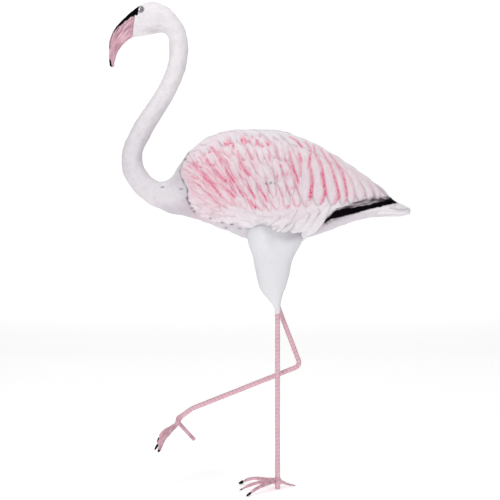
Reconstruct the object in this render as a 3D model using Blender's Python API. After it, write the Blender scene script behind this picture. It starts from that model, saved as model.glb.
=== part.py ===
"""Resin flamingo statue standing on one leg.

A cast and painted resin bird (head, neck, body, folded wings, tail and both thighs in one piece) carried by
two pink steel bars. The left bar stands on the ground, through the hub of a four-toed foot. The right bar is
bent at the heel and the ankle and holds the raised foot. The bird faces -X, its left side faces -Y, and the
origin is at the standing bar's lower end, on the ground, so the bird's middle plane lies a little to +Y.
"""

import math

import bmesh
import bpy
import numpy as np

# Driving sizes, in metres.
FIGURE_HEIGHT = 0.5165  # the casting, from the level of its leg sockets to the crown
LEG_LENGTH = 0.3107  # from the ground to the level of the leg sockets
LEG_SPACING = 0.024  # between the two bars, across the body
BAR_DIAMETER = 0.008
SOCKET_DEPTH = 0.055  # how far each bar goes up into its thigh, above that level
FIT_GAP = 0.0003  # between a bar and the wall around it
BORE_RADIUS = BAR_DIAMETER / 2 + FIT_GAP
COLLAR_WALL = 0.0006  # what is left of the resin around the bar at the mouth of a socket

# The raised bar: three straight runs with their slopes below the horizontal, and the bends between them.
HIP_RUN = 0.1118  # from the level of the sockets back to the heel
HIP_SLOPE = math.radians(69.05)
SHANK_RUN = 0.2000  # from the heel forwards to the ankle
SHANK_SLOPE = math.radians(21.6)
ANKLE_RUN = 0.027
ANKLE_SLOPE = math.radians(36.3)
HEEL_BEND = 0.0095  # radius of the bar's centre line
ANKLE_BEND = 0.030

# The feet. A toe's fan is its angle from straight ahead, to the left below zero.
HUB_WALL = 0.0023  # around the bore
HUB_HEIGHT = 0.0145
HUB_BOTTOM = 0.0075  # the bar sticks out this far under the standing foot's hub
TOE_RADIUS = 0.0034
CLAW_RADIUS = 0.0012
TOE_ROOT_HEIGHT = HUB_BOTTOM + 0.52 * HUB_HEIGHT
TOES = {"outer": (0.086, -50.0), "middle": (0.070, -14.0), "inner": (0.082, 32.5)}
TOE_DIP = (8.0, 27.0)  # degrees under the foot's plane, at the root and at the claw
HIND_TOE = (0.041, 142.0)
RAISED_TOES = {"outer": (0.070, -41.0), "middle": (0.063, -2.0), "inner": (0.067, 32.0)}
RAISED_TOE_DIP = (-6.0, 40.0)
RAISED_FOOT_TILT = 41.0  # degrees, how far the raised foot's toes point down
RAISED_HUB_WALL = 0.0009
RAISED_HUB_REACH = 0.0107  # from the bar's end down to where the toes meet
RAISED_HUB_SLOPE = math.radians(72.0)
RAISED_SEAT = 0.0050  # how far the raised bar goes into its hub
RAISED_HIND_LENGTH = 0.0425
RAISED_HIND_RADIUS = 0.0033
RAISED_HIND_SLOPE = math.radians(47.4)

# The figure is drawn in modules, 304 of them from the level of the sockets to the crown.
MODULES_HIGH = 304.0
MODULE = FIGURE_HEIGHT / MODULES_HIGH
MIDDLE = LEG_SPACING / 2  # the middle plane of the bird
ACROSS = {"left": 0.0, "right": LEG_SPACING}  # where each bar stands

# Sections of the bird from the bill's tip to the tail's tip, in modules from the point between the sockets:
# a point on the line of bill ridge, crown, nape and back, the point across from it on the line of chin,
# throat, breast and belly, and the half width between them.
SECTIONS = np.array([
    (-166.3, 238.6, -164.1, 238.4, 0.9),  # bill tip
    (-168.3, 252.5, -159.9, 252.2, 2.9),
    (-166.5, 269.0, -152.1, 264.0, 4.8),  # bill bend
    (-157.8, 282.2, -146.3, 267.4, 6.4),
    (-144.1, 294.7, -144.1, 268.3, 8.2),  # bill base
    (-132.3, 301.8, -132.3, 269.7, 10.6),  # brow and eyes
    (-122.1, 303.0, -124.3, 271.0, 11.8),  # crown
    (-107.8, 296.2, -115.3, 272.3, 11.4),
    (-95.3, 281.6, -110.0, 268.4, 10.0),  # nape
    (-89.5, 262.0, -108.1, 256.5, 9.5),
    (-90.7, 241.2, -109.1, 243.6, 9.3),
    (-100.7, 213.6, -117.1, 221.7, 9.4),
    (-114.1, 191.0, -130.0, 200.7, 9.7),
    (-126.6, 169.8, -144.1, 179.4, 10.1),
    (-135.2, 149.0, -155.3, 151.5, 10.5),
    (-133.2, 137.8, -154.7, 133.4, 11.0),  # foot of the neck
    (-125.5, 127.4, -144.1, 115.0, 11.9),
    (-114.7, 123.4, -127.3, 100.4, 14.2),
    (-104.7, 129.6, -109.7, 92.5, 19.0),  # breast
    (-93.1, 147.2, -94.3, 89.0, 26.0),
    (-77.3, 162.4, -76.7, 84.4, 32.5),  # shoulders
    (-54.3, 172.6, -53.3, 75.0, 37.5),
    (-26.3, 175.0, -25.8, 65.0, 39.5),
    (5.2, 172.9, 4.7, 62.8, 37.0),
    (34.7, 162.0, 33.7, 68.2, 31.5),
    (61.7, 146.7, 59.7, 77.2, 25.5),
    (85.2, 130.6, 82.7, 85.2, 20.0),  # wing tips
    (106.2, 114.2, 104.7, 88.2, 15.5),
    (117.2, 104.4, 116.7, 88.9, 13.0),
    (126.2, 100.0, 126.2, 89.0, 10.5),  # tail
    (132.4, 96.6, 132.4, 90.8, 6.5),
])
HEAD_END, BODY_START = 8, 17  # the sections where the neck begins and ends

# Levels of a thigh, top to bottom, in modules: its front, its back, its height and its half width.
THIGH = np.array([
    (-34.0, 29.0, 84.0, 8.5),
    (-30.3, 25.2, 66.1, 11.5),
    (-24.4, 15.3, 45.3, 11.2),
    (-20.6, 11.3, 27.7, 9.6),
    (-17.5, 8.0, 17.0, 8.0),
    (-13.7, 5.4, 10.8, 6.6),
    (-9.9, 4.3, 6.2, 5.2),
    (-6.0, 3.3, 1.7, 4.0),
])
COLLAR_DROP = {"left": 3.6, "right": -1.2}  # how far below the socket level each collar reaches, in modules

# Rows of carved feathers on each side, in modules. A row is the first, middle and last of its feathers' tips,
# their number, the first and last feather's length and heading (degrees under straight back), their width
# and their lift.
FEATHER_ROWS = (
    ((-70, 156), (-27, 168), (30, 157), 7, (30, 34), (25, 48), 17.0, 0.8),  # scapulars
    ((-80, 136), (-45, 157), (2, 144), 8, (18, 20), (46, 72), 12.5, 1.2),  # small coverts
    ((-67, 115), (-30, 127), (17, 119), 8, (28, 32), (48, 74), 13.0, 1.5),
    ((-50, 100), (-14, 101), (23, 97), 7, (36, 40), (52, 76), 13.0, 1.7),  # long coverts
    ((30, 99), (72, 104), (113, 107), 8, (58, 15), (80, 40), 14.0, 2.0),  # tertials
    ((-74, 95), (-52, 86), (-28, 80), 4, (18, 20), (18, 40), 13.0, 1.0),  # side of the breast
    ((-33, 93), (5, 82), (42, 99), 6, (28, 28), (58, 8), 15.0, 1.4),  # flank
    ((-24, 82), (12, 70), (50, 90), 6, (28, 30), (62, 4), 16.0, 2.0),
)
PRIMARY_TIPS = ((118.5, 102.5, 72.0), (109.0, 98.5, 62.0), (98.0, 95.0, 50.0))  # tip and length
PRIMARY_HEADING, PRIMARY_WIDTH, PRIMARY_LIFT = -15.0, 8.0, 1.6
TAIL_TIPS = ((132.0, 96.0, 46.0), (127.0, 91.5, 52.0))
TAIL_HEADING, TAIL_WIDTH, TAIL_LIFT = -4.0, 9.0, 0.8

# The folded wing stands proud of the body behind this line, from the shoulder down to the flank.
WING_FRONT = ((-89.5, 149.0), (-93.6, 138.6), (-96.0, 132.0), (-93.3, 121.2), (-88.7, 108.0), (-84.0, 99.0))
WING_LIFT, WING_EDGE = 1.8, 2.5
EYE = (-137.3, 293.5, 3.0, 0.9)  # place, radius and height
MOUTH = ((-145.5, 277.5), (-157.3, 271.0), (-162.3, 264.0), (-164.8, 250.0), (-165.3, 242.0))
MOUTH_WIDTH, MOUTH_DEPTH = 1.1, 0.5
BROW_STEP = 0.5  # how far the head stands proud of the bill

ROWS_PER_MODULE = {"head": 0.75, "neck": 0.25, "body": 0.75}
POINTS_AROUND = 128
BIRD_TRIANGLES = 7200


def through(keys, values, at):
    """A smooth curve through values given at keys, read at the places in at (cubic, with mean slopes)."""
    slopes = np.gradient(values, keys, axis=0)
    low = np.clip(np.searchsorted(keys, at, side="right") - 1, 0, len(keys) - 2)
    step = (keys[low + 1] - keys[low])[:, None]
    share = ((at - keys[low])[:, None]) / step
    start, end = values[low], values[low + 1]
    leaving, arriving = slopes[low] * step, slopes[low + 1] * step
    return (
        start * (1 + 2 * share) * (1 - share) ** 2
        + leaving * share * (1 - share) ** 2
        + end * share**2 * (3 - 2 * share)
        + arriving * share**2 * (share - 1)
    )


def smooth_step(low, high, value):
    share = np.clip((value - low) / (high - low), 0.0, 1.0)
    return share * share * (3.0 - 2.0 * share)


def section_rows():
    """The sections read closely enough to carve: densely on the head and body, sparsely on the neck."""
    middles = (SECTIONS[:, 0:2] + SECTIONS[:, 2:4]) / 2
    keys = np.concatenate([[0.0], np.cumsum(np.hypot(*np.diff(middles, axis=0).T))])
    stretches = (
        ("head", keys[0], keys[HEAD_END]),
        ("neck", keys[HEAD_END], keys[BODY_START]),
        ("body", keys[BODY_START], keys[-1]),
    )
    at = [keys[:1]]
    for name, start, end in stretches:
        count = round((end - start) * ROWS_PER_MODULE[name])
        at.append(np.linspace(start, end, count + 1)[1:])
    at = np.concatenate(at)
    return through(keys, SECTIONS, at), at / keys[-1]


def smooth_bird():
    """The uncarved bird in modules, as a grid of points: one row for each section, one column for each angle.

    A section is an oval in the plane of its two outline points. On the body it is fuller above than below,
    where the wings lie.
    """
    rows, along = section_rows()
    angle = np.linspace(0.0, 2 * math.pi, POINTS_AROUND, endpoint=False)
    top, bottom, width = rows[:, 0:2], rows[:, 2:4], rows[:, 4]
    middle, half = (top + bottom) / 2, (top - bottom) / 2
    fullness = 0.16 * smooth_step(-115.0, -80.0, middle[:, 0]) * (along > 0.4)
    fullness = fullness * (1.0 - smooth_step(70.0, 120.0, middle[:, 0]))
    lean = np.sin(angle)[None, :] * (1.0 + fullness[:, None] * np.cos(angle)[None, :])
    points = np.empty((len(rows), POINTS_AROUND, 3))
    points[..., 0] = middle[:, 0:1] + half[:, 0:1] * np.cos(angle)
    points[..., 1] = -width[:, None] * lean
    points[..., 2] = middle[:, 1:2] + half[:, 1:2] * np.cos(angle)
    return points


def outward(points):
    """The outward unit normal at each point of the grid."""
    along = np.gradient(points, axis=0)
    around = (np.roll(points, -1, axis=1) - np.roll(points, 1, axis=1)) / 2
    normal = np.cross(around, along)
    return normal / np.linalg.norm(normal, axis=2, keepdims=True)


def feather_list():
    """Every feather of one side as its tip, heading, length, width and lift."""
    feathers = []
    for first, middle, last, count, lengths, headings, width, lift in FEATHER_ROWS:
        share = np.linspace(0.0, 1.0, count)
        weights = np.stack([(1 - share) * (1 - 2 * share), 4 * share * (1 - share), share * (2 * share - 1)])
        tips = weights.T @ np.array([first, middle, last], float)
        for step, tip in zip(share, tips):
            length = lengths[0] + (lengths[1] - lengths[0]) * step
            heading = headings[0] + (headings[1] - headings[0]) * step
            feathers.append((tip, heading, length, width, lift))
    for x, z, length in PRIMARY_TIPS:
        feathers.append((np.array([x, z]), PRIMARY_HEADING, length, PRIMARY_WIDTH, PRIMARY_LIFT))
    for x, z, length in TAIL_TIPS:
        feathers.append((np.array([x, z]), TAIL_HEADING, length, TAIL_WIDTH, TAIL_LIFT))
    return feathers


def feather_relief(points, normals):
    """Height of the carved feathers over the smooth bird.

    Each feather is a leaf in the plane that touches the bird at its tip: parallel sides, a round end, thin at
    the root, thick at the tip and a little crowned. Where leaves lie over one another the highest counts.
    """
    side = points * np.where(points[..., 1:2] > 0, -1.0, 1.0) * [0, 1, 0] + points * [1, 0, 1]
    facing = normals * np.where(points[..., 1:2] > 0, -1.0, 1.0) * [0, 1, 0] + normals * [1, 0, 1]
    relief = np.zeros(points.shape[:2])
    near = (points[..., 1] <= 0) & (np.arange(len(points)) > len(points) * 0.45)[:, None]
    spots, spot_normals = points[near], normals[near]
    for tip, heading, length, width, lift in feather_list():
        nearest = np.argmin((spots[:, 0] - tip[0]) ** 2 + (spots[:, 2] - tip[1]) ** 2)
        place, up = spots[nearest], spot_normals[nearest]
        slope = math.radians(heading)
        forward = np.array([math.cos(slope), 0.0, -math.sin(slope)])
        forward = forward - up * (up @ forward)
        forward /= np.linalg.norm(forward)
        across = np.cross(up, forward)
        offset = side - place
        share = 1.0 + (offset @ forward) / length
        round_end = np.sqrt(np.clip(1.0 - (np.clip(share - 0.72, 0, 1) / 0.28) ** 2, 0, 1))
        spread = np.abs(offset @ across) / (width / 2)
        inside = smooth_step(0.0, 0.16, round_end - spread) * smooth_step(0.0, 0.12, share) * (share < 1)
        inside = inside * (facing @ up > 0.2) * (np.abs(offset @ up) < length)
        height = lift * (0.25 + 0.75 * share) * (1.0 - 0.35 * spread**2)
        relief = np.maximum(relief, inside * height)
    return relief


def distance_to_line(points, line):
    """How far each point is from a line of straight runs, seen from the side, and its signed side of it."""
    best = np.full(points.shape[:2], np.inf)
    side = np.zeros(points.shape[:2])
    for (x0, z0), (x1, z1) in zip(line, line[1:]):
        run = np.array([x1 - x0, z1 - z0], float)
        offset = np.stack([points[..., 0] - x0, points[..., 2] - z0], axis=-1)
        share = np.clip(offset @ run / (run @ run), 0.0, 1.0)
        away = offset - share[..., None] * run
        distance = np.hypot(away[..., 0], away[..., 1])
        turn = run[0] * offset[..., 1] - run[1] * offset[..., 0]
        closer = distance < best
        best = np.where(closer, distance, best)
        side = np.where(closer, np.sign(turn), side)
    return best, side


def carved_bird():
    """The bird with its feathers, wing edge, eyes and mouth line, in metres, and the grid's two end points."""
    points = smooth_bird()
    normals = outward(points)
    on_body = (np.arange(len(points)) > len(points) * 0.45)[:, None]
    relief = feather_relief(points, normals) * on_body
    x, z = points[..., 0], points[..., 2]
    distance, side = distance_to_line(points, WING_FRONT)
    within = smooth_step(78.0, 96.0, z) * (1.0 - smooth_step(138.0, 156.0, z))
    fade = 1.0 - smooth_step(-60.0, -30.0, x)
    wing = smooth_step(-WING_EDGE, WING_EDGE, distance * side) * within * fade * WING_LIFT
    relief = relief + wing * on_body
    on_head = (np.arange(len(points)) < len(points) * 0.45)[:, None]
    eye = np.hypot(x - EYE[0], z - EYE[1]) / EYE[2]
    relief = relief + on_head * EYE[3] * np.clip(1.0 - eye**2, 0, 1) * (np.abs(normals[..., 1]) > 0.3)
    mouth, _ = distance_to_line(points, MOUTH)
    mouth_side = smooth_step(0.25, 0.6, np.abs(normals[..., 1]))
    relief = relief - on_head * MOUTH_DEPTH * np.exp(-((mouth / MOUTH_WIDTH) ** 2)) * mouth_side
    relief = relief + on_head * BROW_STEP * smooth_step(-146.0, -141.5, x) * (1 - smooth_step(-135.0, -120.0, x))
    carved = points + normals * relief[..., None]
    carved = carved * MODULE + [0.0, MIDDLE, LEG_LENGTH]
    return carved, carved[0].mean(axis=0), carved[-1].mean(axis=0)


def grid_faces(rows, columns):
    """Quads of a grid that closes around, with a fan at each end to the two points that follow the grid."""
    row, column = np.meshgrid(np.arange(rows - 1), np.arange(columns), indexing="ij")
    beside = (column + 1) % columns
    quads = np.stack([row, row, row + 1, row + 1], axis=-1) * columns
    quads = quads + np.stack([column, beside, beside, column], axis=-1)
    faces = [tuple(quad) for quad in quads.reshape(-1, 4).tolist()]
    first, last = rows * columns, rows * columns + 1
    base = (rows - 1) * columns
    for step in range(columns):
        faces.append((first, (step + 1) % columns, step))
        faces.append((last, base + step, base + (step + 1) % columns))
    return faces


def closed_mesh(name, grid, first, last):
    """A mesh from a grid of points with its two ends closed, its faces turned outwards."""
    rows, columns = grid.shape[:2]
    points = np.concatenate([grid.reshape(-1, 3), [first], [last]])
    mesh = bpy.data.meshes.new(name)
    mesh.from_pydata(points.tolist(), [], grid_faces(rows, columns))
    form = bmesh.new()
    form.from_mesh(mesh)
    bmesh.ops.recalc_face_normals(form, faces=form.faces)
    form.to_mesh(mesh)
    form.free()
    return mesh


def material(name, colour, roughness, metallic=0.0):
    made = bpy.data.materials.new(name)
    made.use_nodes = True
    shader = made.node_tree.nodes["Principled BSDF"]
    shader.inputs["Base Color"].default_value = (*colour, 1.0)
    shader.inputs["Roughness"].default_value = roughness
    shader.inputs["Metallic"].default_value = metallic
    return made


def add_object(name, mesh, collection, finish=None):
    made = bpy.data.objects.new(name, mesh)
    collection.objects.link(made)
    if finish is not None:
        mesh.materials.append(finish)
    return made


def add_cutter(name, mesh, cutters):
    made = add_object(name, mesh, cutters)
    made.hide_render = True
    made.display_type = "WIRE"
    return made


def add_boolean(target, cutter, operation):
    step = target.modifiers.new(f"{operation.lower()} {cutter.name}", "BOOLEAN")
    step.operation = operation
    step.object = cutter
    step.solver = "EXACT"


def tube_mesh(name, path, radii, sides_level):
    """A round bar along a path, as a bevelled curve made a mesh with its caps welded on."""
    curve = bpy.data.curves.new(name, "CURVE")
    curve.dimensions = "3D"
    curve.bevel_depth = 1.0
    curve.bevel_resolution = sides_level
    curve.use_fill_caps = True
    spline = curve.splines.new("POLY")
    spline.points.add(len(path) - 1)
    for point, place, radius in zip(spline.points, path, radii):
        point.co = (*place, 1.0)
        point.radius = radius
    holder = bpy.data.objects.new(name, curve)
    bpy.context.scene.collection.objects.link(holder)
    graph = bpy.context.evaluated_depsgraph_get()
    mesh = bpy.data.meshes.new_from_object(holder.evaluated_get(graph))
    bpy.data.objects.remove(holder)
    form = bmesh.new()
    form.from_mesh(mesh)
    bmesh.ops.remove_doubles(form, verts=form.verts, dist=0.00001)
    bmesh.ops.recalc_face_normals(form, faces=form.faces)
    form.to_mesh(mesh)
    form.free()
    return mesh


def thigh_mesh(side):
    """A thigh and its collar: level ovals narrowing to the bar, the last ones square to the bar's own slope."""
    across = ACROSS[side]
    keys = -THIGH[:, 2]
    levels = through(keys, THIGH, np.linspace(keys[0], keys[-1], 12))
    angle = np.linspace(0.0, 2 * math.pi, 20, endpoint=False)
    rings = []
    for front, back, height, width in levels:
        ring = np.empty((len(angle), 3))
        ring[:, 0] = ((front + back) / 2 + (back - front) / 2 * np.cos(angle)) * MODULE
        ring[:, 1] = across + width * np.sin(angle) * MODULE
        ring[:, 2] = LEG_LENGTH + height * MODULE
        rings.append(ring)
    collar = BORE_RADIUS + COLLAR_WALL
    slope = math.radians(90.0) if side == "left" else HIP_SLOPE
    drop = COLLAR_DROP[side] * MODULE
    centre = np.array([drop / math.tan(slope), across, LEG_LENGTH - drop])
    last = np.empty((len(angle), 3))
    last[:, 0] = centre[0] + collar * np.cos(angle) * math.sin(slope)
    last[:, 1] = centre[1] + collar * np.sin(angle)
    last[:, 2] = centre[2] + collar * np.cos(angle) * math.cos(slope)
    if side == "left":
        rings.append((rings[-1] * [0.4, 0.4, 0.6] + last * [0.6, 0.6, 0.4]))
    rings.append(last)
    grid = np.array(rings)
    return closed_mesh(f"thigh_{side}", grid, grid[0].mean(axis=0), centre)


def hip_direction():
    return np.array([math.cos(HIP_SLOPE), 0.0, -math.sin(HIP_SLOPE)])


def bend(before, corner, after, radius, steps):
    """Points of the arc of this radius that rounds a corner between two straight runs."""
    before, corner, after = (np.asarray(place, float) for place in (before, corner, after))
    back = (before - corner) / np.linalg.norm(before - corner)
    ahead = (after - corner) / np.linalg.norm(after - corner)
    half = math.acos(float(np.clip(back @ ahead, -1, 1))) / 2
    reach = radius / math.tan(half)
    middle = corner + (back + ahead) / np.linalg.norm(back + ahead) * radius / math.sin(half)
    start, end = corner + back * reach - middle, corner + ahead * reach - middle
    sweep = math.pi - 2 * half
    share = np.linspace(0.0, 1.0, steps + 1)[:, None]
    return middle + (np.sin((1 - share) * sweep) * start + np.sin(share * sweep) * end) / math.sin(sweep)


def raised_corners():
    """The raised bar's upper end, heel, ankle and lower end, on its centre line."""
    level = np.array([0.0, ACROSS["right"], LEG_LENGTH])
    heel = level + hip_direction() * HIP_RUN
    ankle = heel + np.array([-math.cos(SHANK_SLOPE), 0.0, -math.sin(SHANK_SLOPE)]) * SHANK_RUN
    end = ankle + np.array([-math.cos(ANKLE_SLOPE), 0.0, -math.sin(ANKLE_SLOPE)]) * ANKLE_RUN
    return level - hip_direction() * SOCKET_DEPTH, heel, ankle, end


def toe_path(root, forward, down, fan, length, dips):
    """A toe's centre line: straight from the hub, then bent down at the knuckle towards the claw."""
    turn = math.radians(fan)
    ahead = np.asarray(forward) * math.cos(turn) + np.array([0.0, 1.0, 0.0]) * math.sin(turn)
    middle = (np.arange(9) + 0.5) / 9
    dip = np.radians(dips[0] + (dips[1] - dips[0]) * smooth_step(0.4, 0.8, middle))
    steps = (np.cos(dip)[:, None] * ahead + np.sin(dip)[:, None] * np.asarray(down)) * length / 9
    return np.asarray(root) + np.concatenate([np.zeros((1, 3)), np.cumsum(steps, axis=0)])


def toe_radii(count):
    share = np.linspace(0.0, 1.0, count)
    return TOE_RADIUS + (CLAW_RADIUS - TOE_RADIUS) * smooth_step(0.7, 1.0, share) - 0.0004 * share


def build_casting(collection, cutters):
    finish = material("painted_resin", (0.86, 0.80, 0.83), 0.55)
    bird = add_object("flamingo", closed_mesh("flamingo", *carved_bird()), collection, finish)
    thin = bird.modifiers.new("fewer faces", "DECIMATE")
    thin.ratio = BIRD_TRIANGLES / (2 * sum(len(face.vertices) > 3 for face in bird.data.polygons))
    level = np.array([0.0, 0.0, LEG_LENGTH])
    for side, across in ACROSS.items():
        thigh = add_cutter(f"thigh_{side}", thigh_mesh(side), cutters)
        add_boolean(bird, thigh, "UNION")
        down = np.array([0.0, 0.0, -1.0]) if side == "left" else hip_direction()
        middle = level + [0.0, across, 0.0]
        ends = [middle - down * (SOCKET_DEPTH + FIT_GAP), middle + down * 2 * BAR_DIAMETER]
        socket = add_cutter(f"socket_{side}", tube_mesh("socket", ends, [BORE_RADIUS] * 2, 4), cutters)
        add_boolean(bird, socket, "DIFFERENCE")
    return bird


def build_legs(collection):
    finish = material("pink_painted_steel", (0.78, 0.50, 0.58), 0.45)
    top = (0.0, ACROSS["left"], LEG_LENGTH + SOCKET_DEPTH)
    standing = tube_mesh("standing_leg", [(0.0, ACROSS["left"], 0.0), top], [BAR_DIAMETER / 2] * 2, 4)
    add_object("standing_leg", standing, collection, finish)
    start, heel, ankle, end = raised_corners()
    path = np.concatenate([
        [start],
        bend(start, heel, ankle, HEEL_BEND, 8),
        bend(heel, ankle, end, ANKLE_BEND, 3),
        [end],
    ])
    raised = tube_mesh("raised_leg", path, [BAR_DIAMETER / 2] * len(path), 3)
    add_object("raised_leg", raised, collection, finish)


def hub_mesh(name, low, high, radius):
    """A hub with rounded shoulders, as a bar that swells between its two ends."""
    low, high = np.asarray(low, float), np.asarray(high, float)
    share = np.array([0.0, 0.14, 0.5, 0.86, 1.0])
    path = low + (high - low) * share[:, None]
    return tube_mesh(name, path, radius * np.array([0.80, 0.97, 1.0, 0.97, 0.80]), 4)


def build_standing_foot(collection, cutters):
    finish = material("pink_painted_iron", (0.78, 0.50, 0.58), 0.5)
    centre = np.array([0.0, ACROSS["left"], 0.0])
    low, high = centre + [0, 0, HUB_BOTTOM], centre + [0, 0, HUB_BOTTOM + HUB_HEIGHT]
    hub = hub_mesh("standing_foot", low, high, BORE_RADIUS + HUB_WALL)
    foot = add_object("standing_foot", hub, collection, finish)
    root = centre + [0.0, 0.0, TOE_ROOT_HEIGHT]
    for name, (length, fan) in TOES.items():
        path = toe_path(root, (-1, 0, 0), (0, 0, -1), fan, length, TOE_DIP)
        radii = toe_radii(len(path))
        drop = TOE_ROOT_HEIGHT - radii[-1]
        path[:, 2] = root[2] + (path[:, 2] - root[2]) * drop / (root[2] - path[-1, 2])
        toe = add_cutter(f"toe_{name}", tube_mesh("toe", path, radii, 2), cutters)
        add_boolean(foot, toe, "UNION")
    length, turn = HIND_TOE
    path = toe_path(root, (-1, 0, 0), (0, 0, -1), turn, length, (20.0, 12.0))
    radii = TOE_RADIUS * np.linspace(1.0, 0.3, len(path))
    path[:, 2] = root[2] + (path[:, 2] - root[2]) * (TOE_ROOT_HEIGHT - radii[-1]) / (root[2] - path[-1, 2])
    hind = add_cutter("toe_hind", tube_mesh("toe", path, radii, 2), cutters)
    add_boolean(foot, hind, "UNION")
    ends = [centre - [0, 0, HUB_HEIGHT], centre + [0, 0, HUB_BOTTOM + 2 * HUB_HEIGHT]]
    bore = add_cutter("standing_bore", tube_mesh("bore", ends, [BORE_RADIUS] * 2, 4), cutters)
    add_boolean(foot, bore, "DIFFERENCE")


def build_raised_foot(collection, cutters):
    finish = material("pink_painted_iron_raised", (0.78, 0.50, 0.58), 0.5)
    end = raised_corners()[3]
    bar = np.array([-math.cos(ANKLE_SLOPE), 0.0, -math.sin(ANKLE_SLOPE)])
    root = end + np.array([-math.cos(RAISED_HUB_SLOPE), 0.0, -math.sin(RAISED_HUB_SLOPE)]) * RAISED_HUB_REACH
    path = [end - bar * RAISED_SEAT, end - bar * RAISED_SEAT / 2, end, (end + root) / 2, root, root * 1.25 - end / 4]
    radii = (BORE_RADIUS + RAISED_HUB_WALL) * np.array([0.94, 1.0, 1.0, 0.9, 0.85, 0.6])
    foot = add_object("raised_foot", tube_mesh("raised_foot", path, radii, 4), collection, finish)
    tilt = math.radians(RAISED_FOOT_TILT)
    forward = (-math.cos(tilt), 0.0, -math.sin(tilt))
    down = (math.sin(tilt), 0.0, -math.cos(tilt))
    for name, (length, fan) in RAISED_TOES.items():
        path = toe_path(root, forward, down, fan, length, RAISED_TOE_DIP)
        toe = add_cutter(f"raised_toe_{name}", tube_mesh("toe", path, toe_radii(len(path)), 2), cutters)
        add_boolean(foot, toe, "UNION")
    start = root + (end - root) * 0.35
    tip = start + np.array([math.cos(RAISED_HIND_SLOPE), 0.0, -math.sin(RAISED_HIND_SLOPE)]) * RAISED_HIND_LENGTH
    hind = add_cutter("raised_hind", tube_mesh("toe", [start, tip], [RAISED_HIND_RADIUS] * 2, 2), cutters)
    add_boolean(foot, hind, "UNION")
    ends = [end - bar * 4 * RAISED_SEAT, end + bar * FIT_GAP]
    bore = add_cutter("raised_bore", tube_mesh("bore", ends, [BORE_RADIUS] * 2, 4), cutters)
    add_boolean(foot, bore, "DIFFERENCE")


def main():
    for old in list(bpy.data.objects):
        bpy.data.objects.remove(old)
    collection = bpy.data.collections.new("resin_flamingo_statue")
    cutters = bpy.data.collections.new("cutters_and_joined_shapes")
    for made in (collection, cutters):
        bpy.context.scene.collection.children.link(made)
    cutters.hide_render = True
    build_casting(collection, cutters)
    build_legs(collection)
    build_standing_foot(collection, cutters)
    build_raised_foot(collection, cutters)


main()
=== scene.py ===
"""Resin flamingo statue: the painted casting with its carved feathers, the ribbed steel legs, the feet and a
plain stage.

The CAD gives the true solids. Each visual piece here restates one of them more finely, in the same frame.
"""

import math

import bmesh
import bpy
import numpy as np
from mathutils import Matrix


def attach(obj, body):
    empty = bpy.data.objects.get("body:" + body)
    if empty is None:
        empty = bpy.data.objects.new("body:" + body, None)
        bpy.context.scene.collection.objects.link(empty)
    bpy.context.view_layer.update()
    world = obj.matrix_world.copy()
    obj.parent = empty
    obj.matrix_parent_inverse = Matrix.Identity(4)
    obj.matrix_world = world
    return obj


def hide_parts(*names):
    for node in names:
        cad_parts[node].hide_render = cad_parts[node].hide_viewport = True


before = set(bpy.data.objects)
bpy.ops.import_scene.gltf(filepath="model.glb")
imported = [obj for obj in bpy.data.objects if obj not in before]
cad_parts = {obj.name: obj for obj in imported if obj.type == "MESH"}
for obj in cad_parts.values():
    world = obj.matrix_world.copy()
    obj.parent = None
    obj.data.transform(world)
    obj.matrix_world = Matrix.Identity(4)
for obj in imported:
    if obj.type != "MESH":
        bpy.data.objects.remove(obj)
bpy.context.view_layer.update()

bl_info = {
    "name": "Resin flamingo statue",
    "version": (1, 0, 0),
    "blender": (4, 5, 0),
    "location": "View3D > Sidebar > Flamingo",
    "description": "Builds a cast and hand-painted resin flamingo on two ribbed steel legs, with its stage",
    "category": "Object",
}

# The figure is drawn on a sheet in modules, 304 of them from the level of the leg sockets to the crown. A
# place on the sheet is given as modules across from its left edge and down from its top edge.
MODULES_HIGH = 304.0
SHEET = (277.3, 305.0)  # the point between the two sockets

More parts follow.
